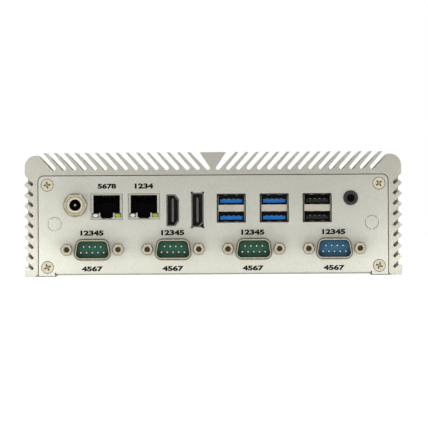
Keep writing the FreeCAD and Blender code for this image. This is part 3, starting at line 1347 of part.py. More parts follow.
def button_cap():
    """The moving cap: it stops short of the floor of the barrel by its travel and a gap."""
    face = BACK + BUTTON_FLANGE + BUTTON_PROUD
    shaft_y = (BUTTON_WELL + BUTTON_TRAVEL + BUTTON_PLAY, face - BUTTON_ROUND)
    shaft = rod_y(BUTTON_X, BUTTON_Z, BUTTON_R, shaft_y)
    crown = cone_y(BUTTON_X, BUTTON_Z, (BUTTON_R, BUTTON_R - BUTTON_ROUND), (face - BUTTON_ROUND, face))
    return fuse([shaft, crown])


def button_nut():
    y = (SEAT_BACK - BUTTON_NUT_HEIGHT, SEAT_BACK)
    hole = rod_y(BUTTON_X, BUTTON_Z, BUTTON_BARREL_R + CLIP_PLAY, (y[0] - OVER, y[1] + OVER))
    return hexagon_y(BUTTON_X, BUTTON_Z, BUTTON_NUT_FLATS, y).cut(hole)


def status_lamp(x):
    inner_y = (SEAT_BACK - LAMP_BODY, SEAT_BACK)
    body = rod_y(x, BUTTON_Z, LAMP_R, (inner_y[0], BACK))
    rim = rod_y(x, BUTTON_Z, LAMP_R + LAMP_RIM, inner_y)
    dome_box = box(middle(x, 4 * LAMP_R), (BACK - JOIN, BACK + LAMP_RISE), middle(BUTTON_Z, 4 * LAMP_R))
    dome = Part.makeSphere(LAMP_R, vec(x, BACK, BUTTON_Z)).common(dome_box)
    return fuse([body, dome, rim])


# ---------------------------------------------------------------- nodes

save("case_extrusion", [chassis()])
save("io_panel", [io_panel()])
save("rear_panel", [rear_panel()])
save("base_plate", [base_plate()])
save("io_panel_screws", panel_screws(FRONT, 1))
save("rear_panel_screws", panel_screws(BACK, -1))
save("base_plate_screws", base_plate_screws())

save("dc_jack_barrel", [dc_barrel()])
save("dc_jack_housing", [dc_housing()])
save("dc_jack_pin", [dc_pin()])
save("dc_jack_nut", [dc_nut()])
save("dc_jack_washer", [dc_washer()])

save("network_jack_shells", [network_shell(x) for x in NETWORK_XS])
save("network_jack_housings", [network_housing(x) for x in NETWORK_XS])
save("network_jack_contacts", [wire for x in NETWORK_XS for wire in network_contacts(x)])
save("link_lamps_clear", [network_lamp(x, 0) for x in NETWORK_XS])
save("link_lamps_green", [network_lamp(x, 1) for x in NETWORK_XS])

save("video_socket_a_shell", [video_shell(video_a_outline, VIDEO_A_X, VIDEO_A_Z + VIDEO_A_HEIGHT / 2)])
save("video_socket_a_insert", [video_insert(video_a_outline, VIDEO_A_X, VIDEO_A_Z, VIDEO_A_TONGUE)])
save("video_socket_b_shell", [video_shell(video_b_outline, VIDEO_B_X, VIDEO_B_Z + VIDEO_B_HEIGHT / 2)])
save("video_socket_b_insert", [video_insert(video_b_outline, VIDEO_B_X, VIDEO_B_Z, VIDEO_B_TONGUE)])
save("video_socket_contacts", video_contacts(VIDEO_A_X, VIDEO_A_Z, VIDEO_A_TONGUE)
     + video_contacts(VIDEO_B_X, VIDEO_B_Z, VIDEO_B_TONGUE))

save("usb_stack_shells", [usb_shell(x) for x in USB_XS])
save("usb_inserts_blue", [usb_insert(x, z) for x in USB_XS[:-1] for z in usb_ports_z()])
save("usb_inserts_black", [usb_insert(USB_XS[-1], z) for z in usb_ports_z()])
save("usb_contacts", [pad for x in USB_XS for z in usb_ports_z() for pad in usb_contacts(x, z)])

save("audio_jack_body", [audio_jack()])
save("audio_jack_ring", [audio_ring()])

save("serial_port_shells", [serial_shell(x) for x in SERIAL_XS])
save("serial_inserts_green", [serial_insert(x) for x in SERIAL_XS[:-1]])
save("serial_insert_blue", [serial_insert(SERIAL_XS[-1])])
save("serial_port_pins", [pin for x in SERIAL_XS for pin in pin_rods(x, SERIAL_BODY_BACK)])
save("serial_jackscrews", [screw for x in SERIAL_XS for screw in jackscrews(x)])

save("main_board", [main_board()])
save("board_standoffs", standoffs())
save("board_screws", board_screws())
save("processor_package", [processor_package()])
save("thermal_pad", [thermal_pad()])
save("heat_spreader", [heat_spreader()])
save("heat_spreader_screws", spreader_screws())
save("power_coils", power_coils())
save("memory_module", [memory_module()])
save("memory_socket", [memory_socket()])
save("clock_cell", [clock_cell()])
save("clock_cell_holder", [cell_holder()])

save("serial_board", [serial_board()])
save("serial_board_spacers", serial_spacers())
save("serial_board_screws", serial_screws())
save("drive_tray", [drive_tray()])
save("drive_tray_screws", tray_screws())
save("drive", [drive()])
save("drive_screws", drive_screws())
save("serial_lead", [serial_lead()])
save("drive_lead", [drive_lead()])
save("lead_plugs", lead_plugs())

save("power_button_barrel", [button_barrel()])
save("power_button_cap", [button_cap()])
save("power_button_nut", [button_nut()])
save("status_lamps", [status_lamp(x) for x in lamp_xs()])
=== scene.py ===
"""Dresses the fanless industrial computer: finishes for its metal, mouldings and boards, the printed port
numbers, threads and sprung fingers, and a pale studio round it. Lengths are in metres.
"""
import math

import bmesh
import bpy
from mathutils import Matrix, Vector


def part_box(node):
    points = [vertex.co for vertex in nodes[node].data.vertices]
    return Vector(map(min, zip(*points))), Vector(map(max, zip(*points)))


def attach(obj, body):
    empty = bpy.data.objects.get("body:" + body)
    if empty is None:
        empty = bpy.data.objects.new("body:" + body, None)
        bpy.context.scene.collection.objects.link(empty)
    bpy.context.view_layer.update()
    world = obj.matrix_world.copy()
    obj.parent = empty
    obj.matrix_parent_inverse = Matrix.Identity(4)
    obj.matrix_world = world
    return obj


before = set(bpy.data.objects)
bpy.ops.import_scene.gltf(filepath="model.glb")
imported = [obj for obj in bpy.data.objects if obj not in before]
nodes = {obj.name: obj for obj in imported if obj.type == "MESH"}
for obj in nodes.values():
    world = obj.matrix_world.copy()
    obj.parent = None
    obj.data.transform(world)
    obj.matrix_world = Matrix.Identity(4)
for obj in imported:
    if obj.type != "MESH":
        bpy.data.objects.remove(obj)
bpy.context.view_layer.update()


# ---- Case extrusion
# One length of drawn aluminium with fins on its top and slots down its sides, bead-blasted and clear
# anodised. The ends are sawn and blasted too; die lines run along it from front to back.

MM = 0.001


def tone(red, green, blue):
    """A written screen colour as the linear colour that a shader takes."""
    shares = [c / 255 for c in (red, green, blue)]
    linear = [(c / 12.92 if c <= 0.04045 else ((c + 0.055) / 1.055) ** 2.4) for c in shares]
    return (*linear, 1.0)


class Finish:
    """A material under construction: one shader and the nodes that feed it, in object space."""

    def __init__(self, name, roughness, metallic=0.0, specular=0.5):
        self.material = bpy.data.materials.new(name)
        self.material.use_nodes = True
        self.tree = self.material.node_tree
        self.shader = self.tree.nodes["Principled BSDF"]
        self.shader.inputs["Roughness"].default_value = roughness
        self.shader.inputs["Metallic"].default_value = metallic
        self.shader.inputs["Specular IOR Level"].default_value = specular
        self.place = self.tree.nodes.new("ShaderNodeTexCoord").outputs["Object"]

    def link(self, out, to):
        self.tree.links.new(out, to)

    def noise(self, size, stretch=(1, 1, 1), detail=3.0):
        """Soft noise whose spots are about size wide, drawn out along each axis by stretch."""
        mapping = self.tree.nodes.new("ShaderNodeMapping")
        mapping.inputs["Scale"].default_value = [1 / (size * s) for s in stretch]
        self.link(self.place, mapping.inputs["Vector"])
        texture = self.tree.nodes.new("ShaderNodeTexNoise")
        texture.inputs["Scale"].default_value = 1.0
        texture.inputs["Detail"].default_value = detail
        self.link(mapping.outputs["Vector"], texture.inputs["Vector"])
        return texture.outputs["Fac"]

    def ranged(self, value, low, high, span=(0.3, 0.7)):
        """The value carried from its usual span onto low to high."""
        node = self.tree.nodes.new("ShaderNodeMapRange")
        node.inputs["From Min"].default_value, node.inputs["From Max"].default_value = span
        node.inputs["To Min"].default_value = low
        node.inputs["To Max"].default_value = high
        self.link(value, node.inputs["Value"])
        return node.outputs["Result"]

    def mixed(self, factor, first, second):
        """A colour between two: each is a colour or another node's output."""
        node = self.tree.nodes.new("ShaderNodeMix")
        node.data_type = "RGBA"
        self.link(factor, node.inputs["Factor"])
        for socket, colour in (("A", first), ("B", second)):
            target = [i for i in node.inputs if i.name == socket and i.type == "RGBA"][0]
            if isinstance(colour, tuple):
                target.default_value = colour
            else:
                self.link(colour, target)
        return [o for o in node.outputs if o.type == "RGBA"][0]

    def painted_crevice_shade(self, out, dark, reach, span=(0.3, 0.9)):
        """The colour out with painted shade: it fades to dark in gaps and recesses narrower than reach, where
        shade falls.
        """
        shade = self.tree.nodes.new("ShaderNodeAmbientOcclusion")
        shade.samples = 8
        shade.inputs["Distance"].default_value = reach
        return self.mixed(self.ranged(shade.outputs["AO"], 0.0, 1.0, span), dark, out)

    def colour(self, out):
        self.link(out, self.shader.inputs["Base Color"])

    def roughness(self, out):
        self.link(out, self.shader.inputs["Roughness"])

    def bump(self, height, depth, strength):
        node = self.tree.nodes.new("ShaderNodeBump")
        node.inputs["Distance"].default_value = depth
        node.inputs["Strength"].default_value = strength
        self.link(height, node.inputs["Height"])
        self.link(node.outputs["Normal"], self.shader.inputs["Normal"])

    def on(self, *names):
        """Puts the finish on CAD nodes, in every slot that they have."""
        for name in names:
            mesh = nodes[name].data
            if not mesh.materials:
                mesh.materials.append(self.material)
            for i in range(len(mesh.materials)):
                mesh.materials[i] = self.material


BLASTED_SPARKLE = 0.35 * MM
BLASTED_CLOUD = 16 * MM
BLASTED_DIMPLE = 0.22 * MM
DIE_LINE = 0.4 * MM
DIE_LINE_STRETCH = 250


def blasted_metal(name, light, dark, reach, span, die_lines=False):
    """Blasted, anodised aluminium with painted shade in its gaps: dimpled, or lined along Y where a die has
    drawn it.
    """
    finish = Finish(name, roughness=0.5, metallic=0.25, specular=0.4)
    sparkle = finish.ranged(finish.noise(BLASTED_SPARKLE, detail=2.0), 0.0, 1.0)
    cloud = finish.ranged(finish.noise(BLASTED_CLOUD), 0.0, 0.35)
    base = finish.mixed(cloud, finish.mixed(sparkle, dark, light), dark)
    # Painted shade: the colour darkens to this grey in narrow gaps.
    finish.colour(finish.painted_crevice_shade(base, tone(62, 60, 53), reach, span))
    if die_lines:
        height = finish.noise(DIE_LINE, stretch=(1, DIE_LINE_STRETCH, 1), detail=4.0)
    else:
        height = finish.noise(BLASTED_DIMPLE, detail=2.0)
    finish.roughness(finish.ranged(height, 0.42, 0.6))
    finish.bump(height, depth=0.02 * MM, strength=0.35)
    return finish


# Painted shade darkens the narrow gaps of the case, such as the seam round each end panel.
case_finish = blasted_metal("anodised_extrusion", tone(213, 210, 198), tone(187, 184, 171),
                            reach=0.6 * MM, span=(0.3, 0.9), die_lines=True)
case_finish.on("case_extrusion")


# ---- End panels and base plate
# Three flat aluminium plates, blasted and anodised with the case but a little paler. The end panels close the
# ends of the extrusion, with a hairline gap round them; the base plate closes it from below.

# Painted shade, reaching a little further than on the case, darkens the hairline gaps round these plates.
panel_finish = blasted_metal("anodised_panel", tone(218, 218, 207), tone(196, 196, 184),
                             reach=0.8 * MM, span=(0.45, 0.97))
panel_finish.on("io_panel", "rear_panel", "base_plate")


# ---- Panel and plate screws
# Cross-recess countersunk steel screws in yellowish nickel plate. They hold the end panels and the base plate
# to the extrusion, and their crosses are dark with shadow, much of it painted shade in their colour.

def plated(name, bright, dull, roughness, spot=1.2 * MM, dark=tone(70, 62, 46), reach=0.6 * MM,
           span=(0.3, 0.9)):
    """Plated or tinned metal: a slow drift between bright and dull patches, with painted shade darkening its
    recesses.
    """
    finish = Finish(name, roughness, metallic=1.0)
    surface = finish.mixed(finish.ranged(finish.noise(spot), 0.0, 1.0), dull, bright)
    # Painted shade darkens recesses to the colour dark.
    finish.colour(finish.painted_crevice_shade(surface, dark, reach, span))
    finish.roughness(finish.ranged(finish.noise(0.5 * spot), roughness * 0.75, roughness * 1.4))
    finish.bump(finish.noise(0.3 * MM), depth=0.01 * MM, strength=0.3)
    return finish


screw_finish = plated("nickel_screws", tone(208, 201, 178), tone(192, 183, 158), roughness=0.34,
                      dark=tone(44, 36, 24), reach=1.0 * MM)
screw_finish.on("io_panel_screws", "rear_panel_screws", "base_plate_screws")


# ---- Inner screws, standoffs and spacers
# Zinc-plated steel, bluish and bright. Hexagon standoffs hang the main board from the roof, and spacers
# stand the serial board on the base plate. Pan-head screws hold both, the spreader, the drive and its tray.

inner_finish = plated("zinc_screws", tone(222, 224, 226), tone(186, 190, 194), roughness=0.32)
inner_finish.on("board_screws", "heat_spreader_screws", "serial_board_screws", "drive_tray_screws",
                "drive_screws", "board_standoffs", "serial_board_spacers")


# ---- Boards
# Varnished green glass-fibre laminate with faint copper runs: the main board under the roof, the memory
# module in its socket below it, and the serial board behind the lower row of ports.

def laminate(name):
    """Green board with paler runs in a regular pattern, clouded by the weave of its cloth."""
    finish = Finish(name, roughness=0.35, specular=0.6)
    runs = finish.tree.nodes.new("ShaderNodeTexBrick")
    runs.inputs["Scale"].default_value = 140.0
    runs.inputs["Mortar Size"].default_value = 0.06
    runs.inputs["Color1"].default_value = tone(20, 84, 52)
    runs.inputs["Color2"].default_value = tone(16, 74, 46)
    runs.inputs["Mortar"].default_value = tone(48, 122, 72)
    finish.link(finish.place, runs.inputs["Vector"])
    cloud = finish.ranged(finish.noise(6 * MM), 0.0, 0.5)
    finish.colour(finish.mixed(cloud, runs.outputs["Color"], tone(12, 60, 40)))
    finish.bump(runs.outputs["Fac"], depth=0.03 * MM, strength=0.4)
    return finish


laminate("board_laminate").on("main_board", "serial_board", "memory_module")


# ---- Chips, coils and board sockets
# Black moulded packages soldered on top of the main board, the black sockets under it that take the memory
# module and the clock cell, and the cell itself in its steel can.

def moulded(name, face, shade, roughness, spot=2.0 * MM, dark=tone(6, 6, 7), reach=2.0 * MM,
            specular=0.5):
    """Moulded plastic or rubber: an even colour with a fine texture and painted shade deep inside a socket.
    """
    finish = Finish(name, roughness, specular=specular)
    surface = finish.mixed(finish.ranged(finish.noise(spot), 0.0, 1.0), shade, face)
    # Painted shade darkens recesses to the colour dark.
    finish.colour(finish.painted_crevice_shade(surface, dark, reach))
    grain = finish.noise(0.12 * MM, detail=2.0)
    finish.roughness(finish.ranged(grain, roughness * 0.85, roughness * 1.2))
    finish.bump(grain, depth=0.008 * MM, strength=0.5)
    return finish


chip_black = moulded("chip_black", tone(30, 30, 32), tone(20, 20, 22), roughness=0.5)
chip_black.on("processor_package", "power_coils")
black_plastic = moulded("black_moulding", tone(22, 22, 23), tone(14, 14, 15), roughness=0.42)
black_plastic.on("memory_socket", "clock_cell_holder")
cell_steel = plated("cell_steel", tone(220, 220, 218), tone(198, 198, 196), roughness=0.25)
cell_steel.on("clock_cell")


# ---- Thermal pad and heat spreader
# A soft grey pad of filled silicone on the processor, and over it a block of bare milled aluminium, screwed
# up against the roof so that the heat goes into the fins.

pad_grey = moulded("pad_grey", tone(142, 146, 150), tone(124, 128, 134), roughness=0.85)
pad_grey.on("thermal_pad")
bare_metal = plated("milled_aluminium", tone(214, 216, 218), tone(192, 195, 198), roughness=0.38)
bare_metal.on("heat_spreader")


# ---- Drive and its tray
# A flat drive in a plain metal case. Its tray is one folded sheet, with a deck under the drive and feet that
# are screwed down to the base plate, and it has the same bare look as the spreader.

bare_metal.on("drive_tray")
drive_case = plated("drive_case", tone(176, 178, 182), tone(156, 158, 163), roughness=0.42)
drive_case.on("drive")


# ---- Flat leads and their plugs
# Two short strips of flat grey lead that rise to the main board, one from the serial board and one from the
# drive, with a black moulded plug pressed on at each end.

lead_grey = moulded("lead_grey", tone(128, 128, 126), tone(112, 112, 110), roughness=0.55)
lead_grey.on("serial_lead", "drive_lead")
black_plastic.on("lead_plugs")


# ---- Power inlet
# A turned brass barrel in cream-coloured nickel, threaded at its foot and held to the panel by a flat nut
# over a washer, with a round pin standing on its axis and a black moulded housing behind.

BARREL_R = 4.0 * MM
BARREL_THREAD_TURNS = 2.0
BARREL_THREAD_PITCH = 0.34 * MM
BARREL_THREAD_RISE = 0.14 * MM
BARREL_THREAD_HALF_WIDTH = 0.15 * MM
BARREL_THREAD_START = 0.78 * MM     # in front of the nut
BARREL_THREAD_SUNK = 0.02 * MM      # its foot lies this far under the skin
THREAD_RUN_OUT = 0.4                # of a turn


def thread_ridge(mesh, start, turns, pitch, core, rise, half_width, steps=40):
    """Adds a helical ridge of triangular section round +Y, which dies away at both ends."""
    count = int(turns * steps)
    run_out = THREAD_RUN_OUT * steps
    rows = []
    for i in range(count + 1):
        angle = 2 * math.pi * i / steps
        fade = min(1.0, i / run_out, (count - i) / run_out)
        y = start.y + pitch * i / steps
        row = []
        for offset, r in ((-half_width, core), (0.0, core + rise * fade), (half_width, core)):
            x = start.x + r * math.cos(angle)
            z = start.z + r * math.sin(angle)
            row.append(mesh.verts.new((x, y + offset, z)))
        rows.append(row)
    for low, high in zip(rows, rows[1:]):
        for a, b in ((0, 1), (1, 2), (2, 0)):
            mesh.faces.new((low[a], low[b], high[b], high[a]))
    mesh.faces.new(rows[0])
    mesh.faces.new(rows[-1])


def piece(name, mesh, finish):
    """Makes an object of a bmesh, with its finish and material slot, that rides on the case."""
    bmesh.ops.recalc_face_normals(mesh, faces=mesh.faces)
    data = bpy.data.meshes.new(name)
    mesh.to_mesh(data)
    mesh.free()
    data.materials.append(finish.material)
    thing = bpy.data.objects.new(name, data)
    bpy.context.scene.collection.objects.link(thing)
    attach(thing, "case")


# Painted shade: the nut, the washer and the thread wear a darker copy of the barrel's nickel, and the pin a
# darker one still; the colours also darken deep in the bore, the threads and the housing.
barrel_nickel = plated("cream_nickel", tone(226, 219, 200), tone(208, 199, 176), roughness=0.28,
                       reach=0.8 * MM)
barrel_nickel.on("dc_jack_barrel")
shaded_nickel = plated("shaded_nickel", tone(204, 195, 170), tone(182, 171, 144), roughness=0.34,
                    dark=tone(60, 50, 34), reach=1.3 * MM)
shaded_nickel.on("dc_jack_nut", "dc_jack_washer")
shaded_pin_nickel = plated("shaded_pin_nickel", tone(176, 170, 160), tone(150, 143, 132), roughness=0.26,
                    dark=tone(20, 16, 12), reach=3 * MM)
shaded_pin_nickel.on("dc_jack_pin")
socket_black = moulded("socket_black", tone(15, 15, 16), tone(10, 10, 11), roughness=0.6,
                       dark=tone(3, 3, 4), specular=0.12)
socket_black.on("dc_jack_housing")

washer_low, washer_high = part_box("dc_jack_washer")
inlet_axis = (washer_low + washer_high) / 2
nut_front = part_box("dc_jack_nut")[0].y
barrel_thread = bmesh.new()
thread_ridge(barrel_thread, Vector((inlet_axis.x, nut_front - BARREL_THREAD_START, inlet_axis.z)),
             turns=BARREL_THREAD_TURNS, pitch=BARREL_THREAD_PITCH, core=BARREL_R - BARREL_THREAD_SUNK,
             rise=BARREL_THREAD_RISE, half_width=BARREL_THREAD_HALF_WIDTH)
piece("dc_jack_thread", barrel_thread, shaded_nickel)


# ---- Network jacks
# Two eight-way jacks: folded shells of tinned steel round black mouldings, with gold-plated sprung wires.
# Three small sprung fingers are pressed out of the face at each side of each opening.

JACK_HALF_WIDTH = 7.55 * MM
JACK_FINGER_COUNT = 3
JACK_FINGER_INSET = 0.55 * MM       # from the side of the shell
JACK_FINGER_FOOT = 3.75 * MM        # from the shell's underside to the lowest finger
JACK_FINGER_STEP = 2.3 * MM
JACK_FINGER_SUNK = 0.02 * MM        # its ends lie this far behind the face
JACK_FINGER_LENGTH = 1.7 * MM
JACK_FINGER_WIDTH = 0.7 * MM
JACK_FINGER_RISE = 0.1 * MM
JACK_FINGER_SHEET = 0.08 * MM


def sprung_finger(mesh, root, along, out, length, width, rise, sheet, steps=8):
    """Adds a strip of sheet that leaves root, runs along one way and bows outward by rise."""
    across = along.cross(out)
    rows = []
    for i in range(steps + 1):
        spot = root + along * (length * i / steps) + out * (rise * math.sin(math.pi * i / steps))
        rows.append([mesh.verts.new(spot + across * (side * width / 2) + out * lift)
                     for side, lift in ((-1, 0), (1, 0), (1, sheet), (-1, sheet))])
    for low, high in zip(rows, rows[1:]):
        for a, b in ((0, 1), (1, 2), (2, 3), (3, 0)):
            mesh.faces.new((low[a], low[b], high[b], high[a]))
    mesh.faces.new(rows[0])
    mesh.faces.new(rows[-1])


socket_black.on("network_jack_housings")
tinned = plated("tinned_steel", tone(188, 185, 174), tone(170, 167, 156), roughness=0.36, spot=6 * MM)
tinned.on("network_jack_shells")
# Painted shade turns the gold wires and the housings nearly black deep in the openings.
gold = plated("gold_contacts", tone(206, 178, 112), tone(184, 152, 84), roughness=0.26,
              dark=tone(14, 11, 7), reach=5 * MM, span=(0.5, 1.0))
gold.on("network_jack_contacts")

jack_low, jack_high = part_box("network_jack_shells")
finger_y = jack_low.y + JACK_FINGER_SUNK
jack_fingers = bmesh.new()
for jack_x in (jack_low.x + JACK_HALF_WIDTH, jack_high.x - JACK_HALF_WIDTH):
    for side in (-1, 1):
        finger_x = jack_x + side * (JACK_HALF_WIDTH - JACK_FINGER_INSET)
        for i in range(JACK_FINGER_COUNT):
            finger_z = jack_low.z + JACK_FINGER_FOOT + i * JACK_FINGER_STEP
            sprung_finger(jack_fingers, Vector((finger_x, finger_y, finger_z)), along=Vector((0, 0, 1)),
                          out=Vector((0, -1, 0)), length=JACK_FINGER_LENGTH, width=JACK_FINGER_WIDTH,
                          rise=JACK_FINGER_RISE, sheet=JACK_FINGER_SHEET)
piece("network_jack_fingers", jack_fingers, tinned)


# ---- Link lamps
# A clear and a yellow-green light pipe of moulded plastic in the sill under each network opening. Each ends
# in a shallow domed window that catches the light.

HALF_LAMP = 1.6 * MM
LAMP_WINDOW = Vector((2.5, 0.3, 1.5)) * MM


def lens(name, face, shade, glow):
    """A light pipe or lamp cover: milky plastic with some light let through."""
    finish = Finish(name, roughness=0.22, specular=0.6)
    finish.colour(finish.mixed(finish.ranged(finish.noise(1.1 * MM), 0.0, 1.0), shade, face))
    finish.shader.inputs["Transmission Weight"].default_value = glow
    finish.bump(finish.noise(0.5 * MM), depth=0.02 * MM, strength=0.3)
    return finish


def bead(mesh, centre, size):
    """Adds a lens-shaped bead of that size, half sunk in the surface that it stands on."""
    shape = Matrix.Translation(centre) @ Matrix.Diagonal((*(size / 2), 1.0))
    bmesh.ops.create_uvsphere(mesh, u_segments=20, v_segments=12, radius=1.0, matrix=shape)


def lamp_windows(name, pipes, finish):
    """Stands a window on the front of each of a pair of light pipes."""
    low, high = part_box(pipes)
    windows = bmesh.new()
    for x in (low.x + HALF_LAMP, high.x - HALF_LAMP):
        bead(windows, Vector((x, low.y, (low.z + high.z) / 2)), LAMP_WINDOW)
    piece(name, windows, finish)


clear_pipe = lens("clear_light_pipe", tone(98, 95, 88), tone(78, 75, 68), glow=0.05)
clear_pipe.on("link_lamps_clear")
clear_window = lens("clear_dome", tone(238, 234, 226), tone(222, 218, 208), glow=0.0)
lamp_windows("link_domes_clear", "link_lamps_clear", clear_window)
green_pipe = lens("green_light_pipe", tone(112, 120, 24), tone(92, 100, 18), glow=0.05)
green_pipe.on("link_lamps_green")
green_window = lens("green_dome", tone(178, 188, 42), tone(160, 172, 30), glow=0.05)
lamp_windows("link_domes_green", "link_lamps_green", green_window)


# ---- Video sockets
# Two upright sockets with folded dark-plated shells: one with both right-hand corners bevelled, one with only
# the lower. Each has a black moulded tongue with flat plated contacts on both faces.

# Painted shade darkens the insides of the shells, the tongues deep in them and the contacts.
dark_plate = plated("dark_plate", tone(122, 120, 113), tone(98, 96, 90), roughness=0.36,
                    dark=tone(86, 84, 79), reach=1.2 * MM)
dark_plate.on("video_socket_a_shell", "video_socket_b_shell")
tongue_black = moulded("tongue_black", tone(118, 117, 115), tone(104, 103, 101), roughness=0.5,
                       dark=tone(78, 77, 75), reach=3.5 * MM, specular=0.2)
tongue_black.on("video_socket_a_insert", "video_socket_b_insert")
video_contacts = plated("worn_contacts", tone(120, 114, 100), tone(98, 92, 80), roughness=0.3,
                        dark=tone(20, 18, 14), reach=2 * MM)
video_contacts.on("video_socket_contacts")


# ---- USB stacks
# Three folded shells of tinned steel, each with two openings, one above the other, and a bar between them.
# Blue tongues fill the first two stacks and black ones the third. Sprung fingers in each opening grip a plug.

STACK_PITCH = 20.85 * MM
STACK_HEIGHT = 13.7 * MM
OPENING_LOW = 1.6 * MM              # from the middle of the stack to each edge of an opening
OPENING_HIGH = 6.55 * MM
USB_FINGER_SPREAD = 2.7 * MM        # from the middle of the stack to either side
USB_FINGER_RECESS = 1.2 * MM
USB_FINGER_LENGTH = 6 * MM
USB_FINGER_WIDTH = 1.9 * MM
USB_FINGER_RISE = 0.45 * MM
USB_FINGER_SHEET = 0.15 * MM

# Painted shade darkens the rims of the shells almost to black, turns the blue tongues navy deep in the
# openings, and darkens the black tongues and the contacts there.
stack_steel = plated("stack_steel", tone(186, 181, 169), tone(174, 168, 156), roughness=0.4, spot=6 * MM,
                     dark=tone(14, 12, 10), reach=1.6 * MM, span=(0.84, 1.0))
stack_steel.on("usb_stack_shells")
usb_blue = moulded("usb_blue", tone(24, 126, 214), tone(16, 112, 202), roughness=0.4,
                   dark=tone(4, 12, 44), reach=5 * MM, specular=0.3)
usb_blue.on("usb_inserts_blue")
usb_black = moulded("usb_black", tone(32, 31, 30), tone(24, 23, 22), roughness=0.45,
                    dark=tone(4, 4, 5), reach=5 * MM, specular=0.2)
usb_black.on("usb_inserts_black")
usb_contacts = plated("usb_contacts", tone(230, 226, 214), tone(200, 196, 184), roughness=0.28,
                      dark=tone(60, 58, 52), reach=4 * MM)
usb_contacts.on("usb_contacts")

stack_low, stack_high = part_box("usb_stack_shells")
middle_x = (stack_low.x + stack_high.x) / 2
middle_z = stack_low.z + STACK_HEIGHT / 2
grip_y = stack_low.y + USB_FINGER_RECESS
usb_fingers = bmesh.new()
for stack_x in (middle_x - STACK_PITCH, middle_x, middle_x + STACK_PITCH):
    for offset, way in ((-OPENING_HIGH, 1), (-OPENING_LOW, -1), (OPENING_LOW, 1), (OPENING_HIGH, -1)):
        for side in (-1, 1):
            root = Vector((stack_x + side * USB_FINGER_SPREAD, grip_y, middle_z + offset))
            sprung_finger(usb_fingers, root, along=Vector((0, 1, 0)), out=Vector((0, 0, way)),
                          length=USB_FINGER_LENGTH, width=USB_FINGER_WIDTH, rise=USB_FINGER_RISE,
                          sheet=USB_FINGER_SHEET)
piece("usb_fingers", usb_fingers, tinned)


# ---- Audio socket
# A black moulded socket for a small round plug. Its short collar comes through the panel, and a nickel-plated
# contact ring is let into the wall of the bore.

# Painted shade turns the bore black, and the contact ring wears a darker grey copy of nickel, as shade inside
# the bore.
audio_black = moulded("audio_black", tone(74, 74, 73), tone(60, 60, 59), roughness=0.32,
                      dark=tone(2, 2, 2), reach=5 * MM, specular=0.15)
audio_black.on("audio_jack_body")
shaded_ring_nickel = plated("shaded_ring_nickel", tone(120, 118, 112), tone(100, 98, 92), roughness=0.3,
                     dark=tone(8, 8, 8), reach=4 * MM)
shaded_ring_nickel.on("audio_jack_ring")


# ---- Serial ports
# Four nine-way ports: drawn nickel-plated shells, dimpled above and below, over mouldings that are dark green
# in the first three and blue in the fourth, with tinned pins. A hexagonal jackscrew with a threaded bore
# holds each end of a shell to the panel.

PORT_COUNT = 4
PORT_PITCH = 39.2 * MM
JACKSCREW_SPACING = 24.99 * MM
BORE_R = 1.25 * MM
BORE_THREAD_TURNS = 5.0
BORE_THREAD_PITCH = 0.635 * MM
BORE_THREAD_RISE = -0.17 * MM       # inward, to the axis
BORE_THREAD_HALF_WIDTH = 0.22 * MM
BORE_THREAD_START = 0.5 * MM        # behind the jackscrew's face
BORE_THREAD_SUNK = 0.01 * MM
SHELL_TOP = 4.55 * MM               # over the middle of the port
DIMPLE = Vector((1.7, 1.1, 0.5)) * MM
DIMPLE_STEP = 4.2 * MM
DIMPLE_SETBACK = 2.2 * MM           # behind the lip of the shell

# Painted shade darkens the jackscrews' bores, the recesses of the shells and the mouldings deep inside them,
# and the pins a little where they meet the mouldings.
shell_nickel = plated("shell_nickel", tone(196, 188, 166), tone(178, 168, 144), roughness=0.3,
                      dark=tone(38, 31, 21), reach=2 * MM)
shell_nickel.on("serial_port_shells", "serial_jackscrews")
serial_green = moulded("serial_green", tone(62, 124, 98), tone(50, 110, 86), roughness=0.42,
                       dark=tone(18, 48, 36), reach=3 * MM, specular=0.3)
serial_green.on("serial_inserts_green")
serial_blue = moulded("serial_blue", tone(72, 142, 180), tone(62, 128, 166), roughness=0.42,
                      dark=tone(22, 56, 84), reach=3 * MM, specular=0.3)
serial_blue.on("serial_insert_blue")
tin_pins = plated("tin_pins", tone(244, 246, 242), tone(234, 236, 232), roughness=0.22,
                  dark=tone(150, 156, 150), reach=0.3 * MM)
tin_pins.on("serial_port_pins")

shell_low, shell_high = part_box("serial_port_shells")
port_z = (shell_low.z + shell_high.z) / 2
dimple_y = shell_low.y + DIMPLE_SETBACK
bore_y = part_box("serial_jackscrews")[0].y + BORE_THREAD_START
bore_threads = bmesh.new()
dimples = bmesh.new()
for port_x in [(i - (PORT_COUNT - 1) / 2) * PORT_PITCH for i in range(PORT_COUNT)]:
    for side in (-0.5, 0.5):
        thread_ridge(bore_threads, Vector((port_x + side * JACKSCREW_SPACING, bore_y, port_z)),
                     turns=BORE_THREAD_TURNS, pitch=BORE_THREAD_PITCH, core=BORE_R + BORE_THREAD_SUNK,
                     rise=BORE_THREAD_RISE, half_width=BORE_THREAD_HALF_WIDTH, steps=24)
    for way in (-1, 1):
        for dimple_x in (port_x - DIMPLE_STEP, port_x, port_x + DIMPLE_STEP):
            bead(dimples, Vector((dimple_x, dimple_y, port_z + way * SHELL_TOP)), DIMPLE)
piece("jackscrew_threads", bore_threads, shell_nickel)
piece("serial_shell_dimples", dimples, shell_nickel)


# ---- Power button
# A spring-return push button through the rear panel: a turned aluminium barrel with a bevelled rim, held by a
# nut behind the panel, and a turned cap of duller aluminium that slides in it.

turned_metal = plated("turned_aluminium", tone(206, 207, 205), tone(184, 186, 184), roughness=0.3)
turned_metal.on("power_button_barrel", "power_button_nut")
cap_metal = plated("cap_aluminium", tone(190, 192, 192), tone(168, 170, 171), roughness=0.34)
cap_metal.on("power_button_cap")


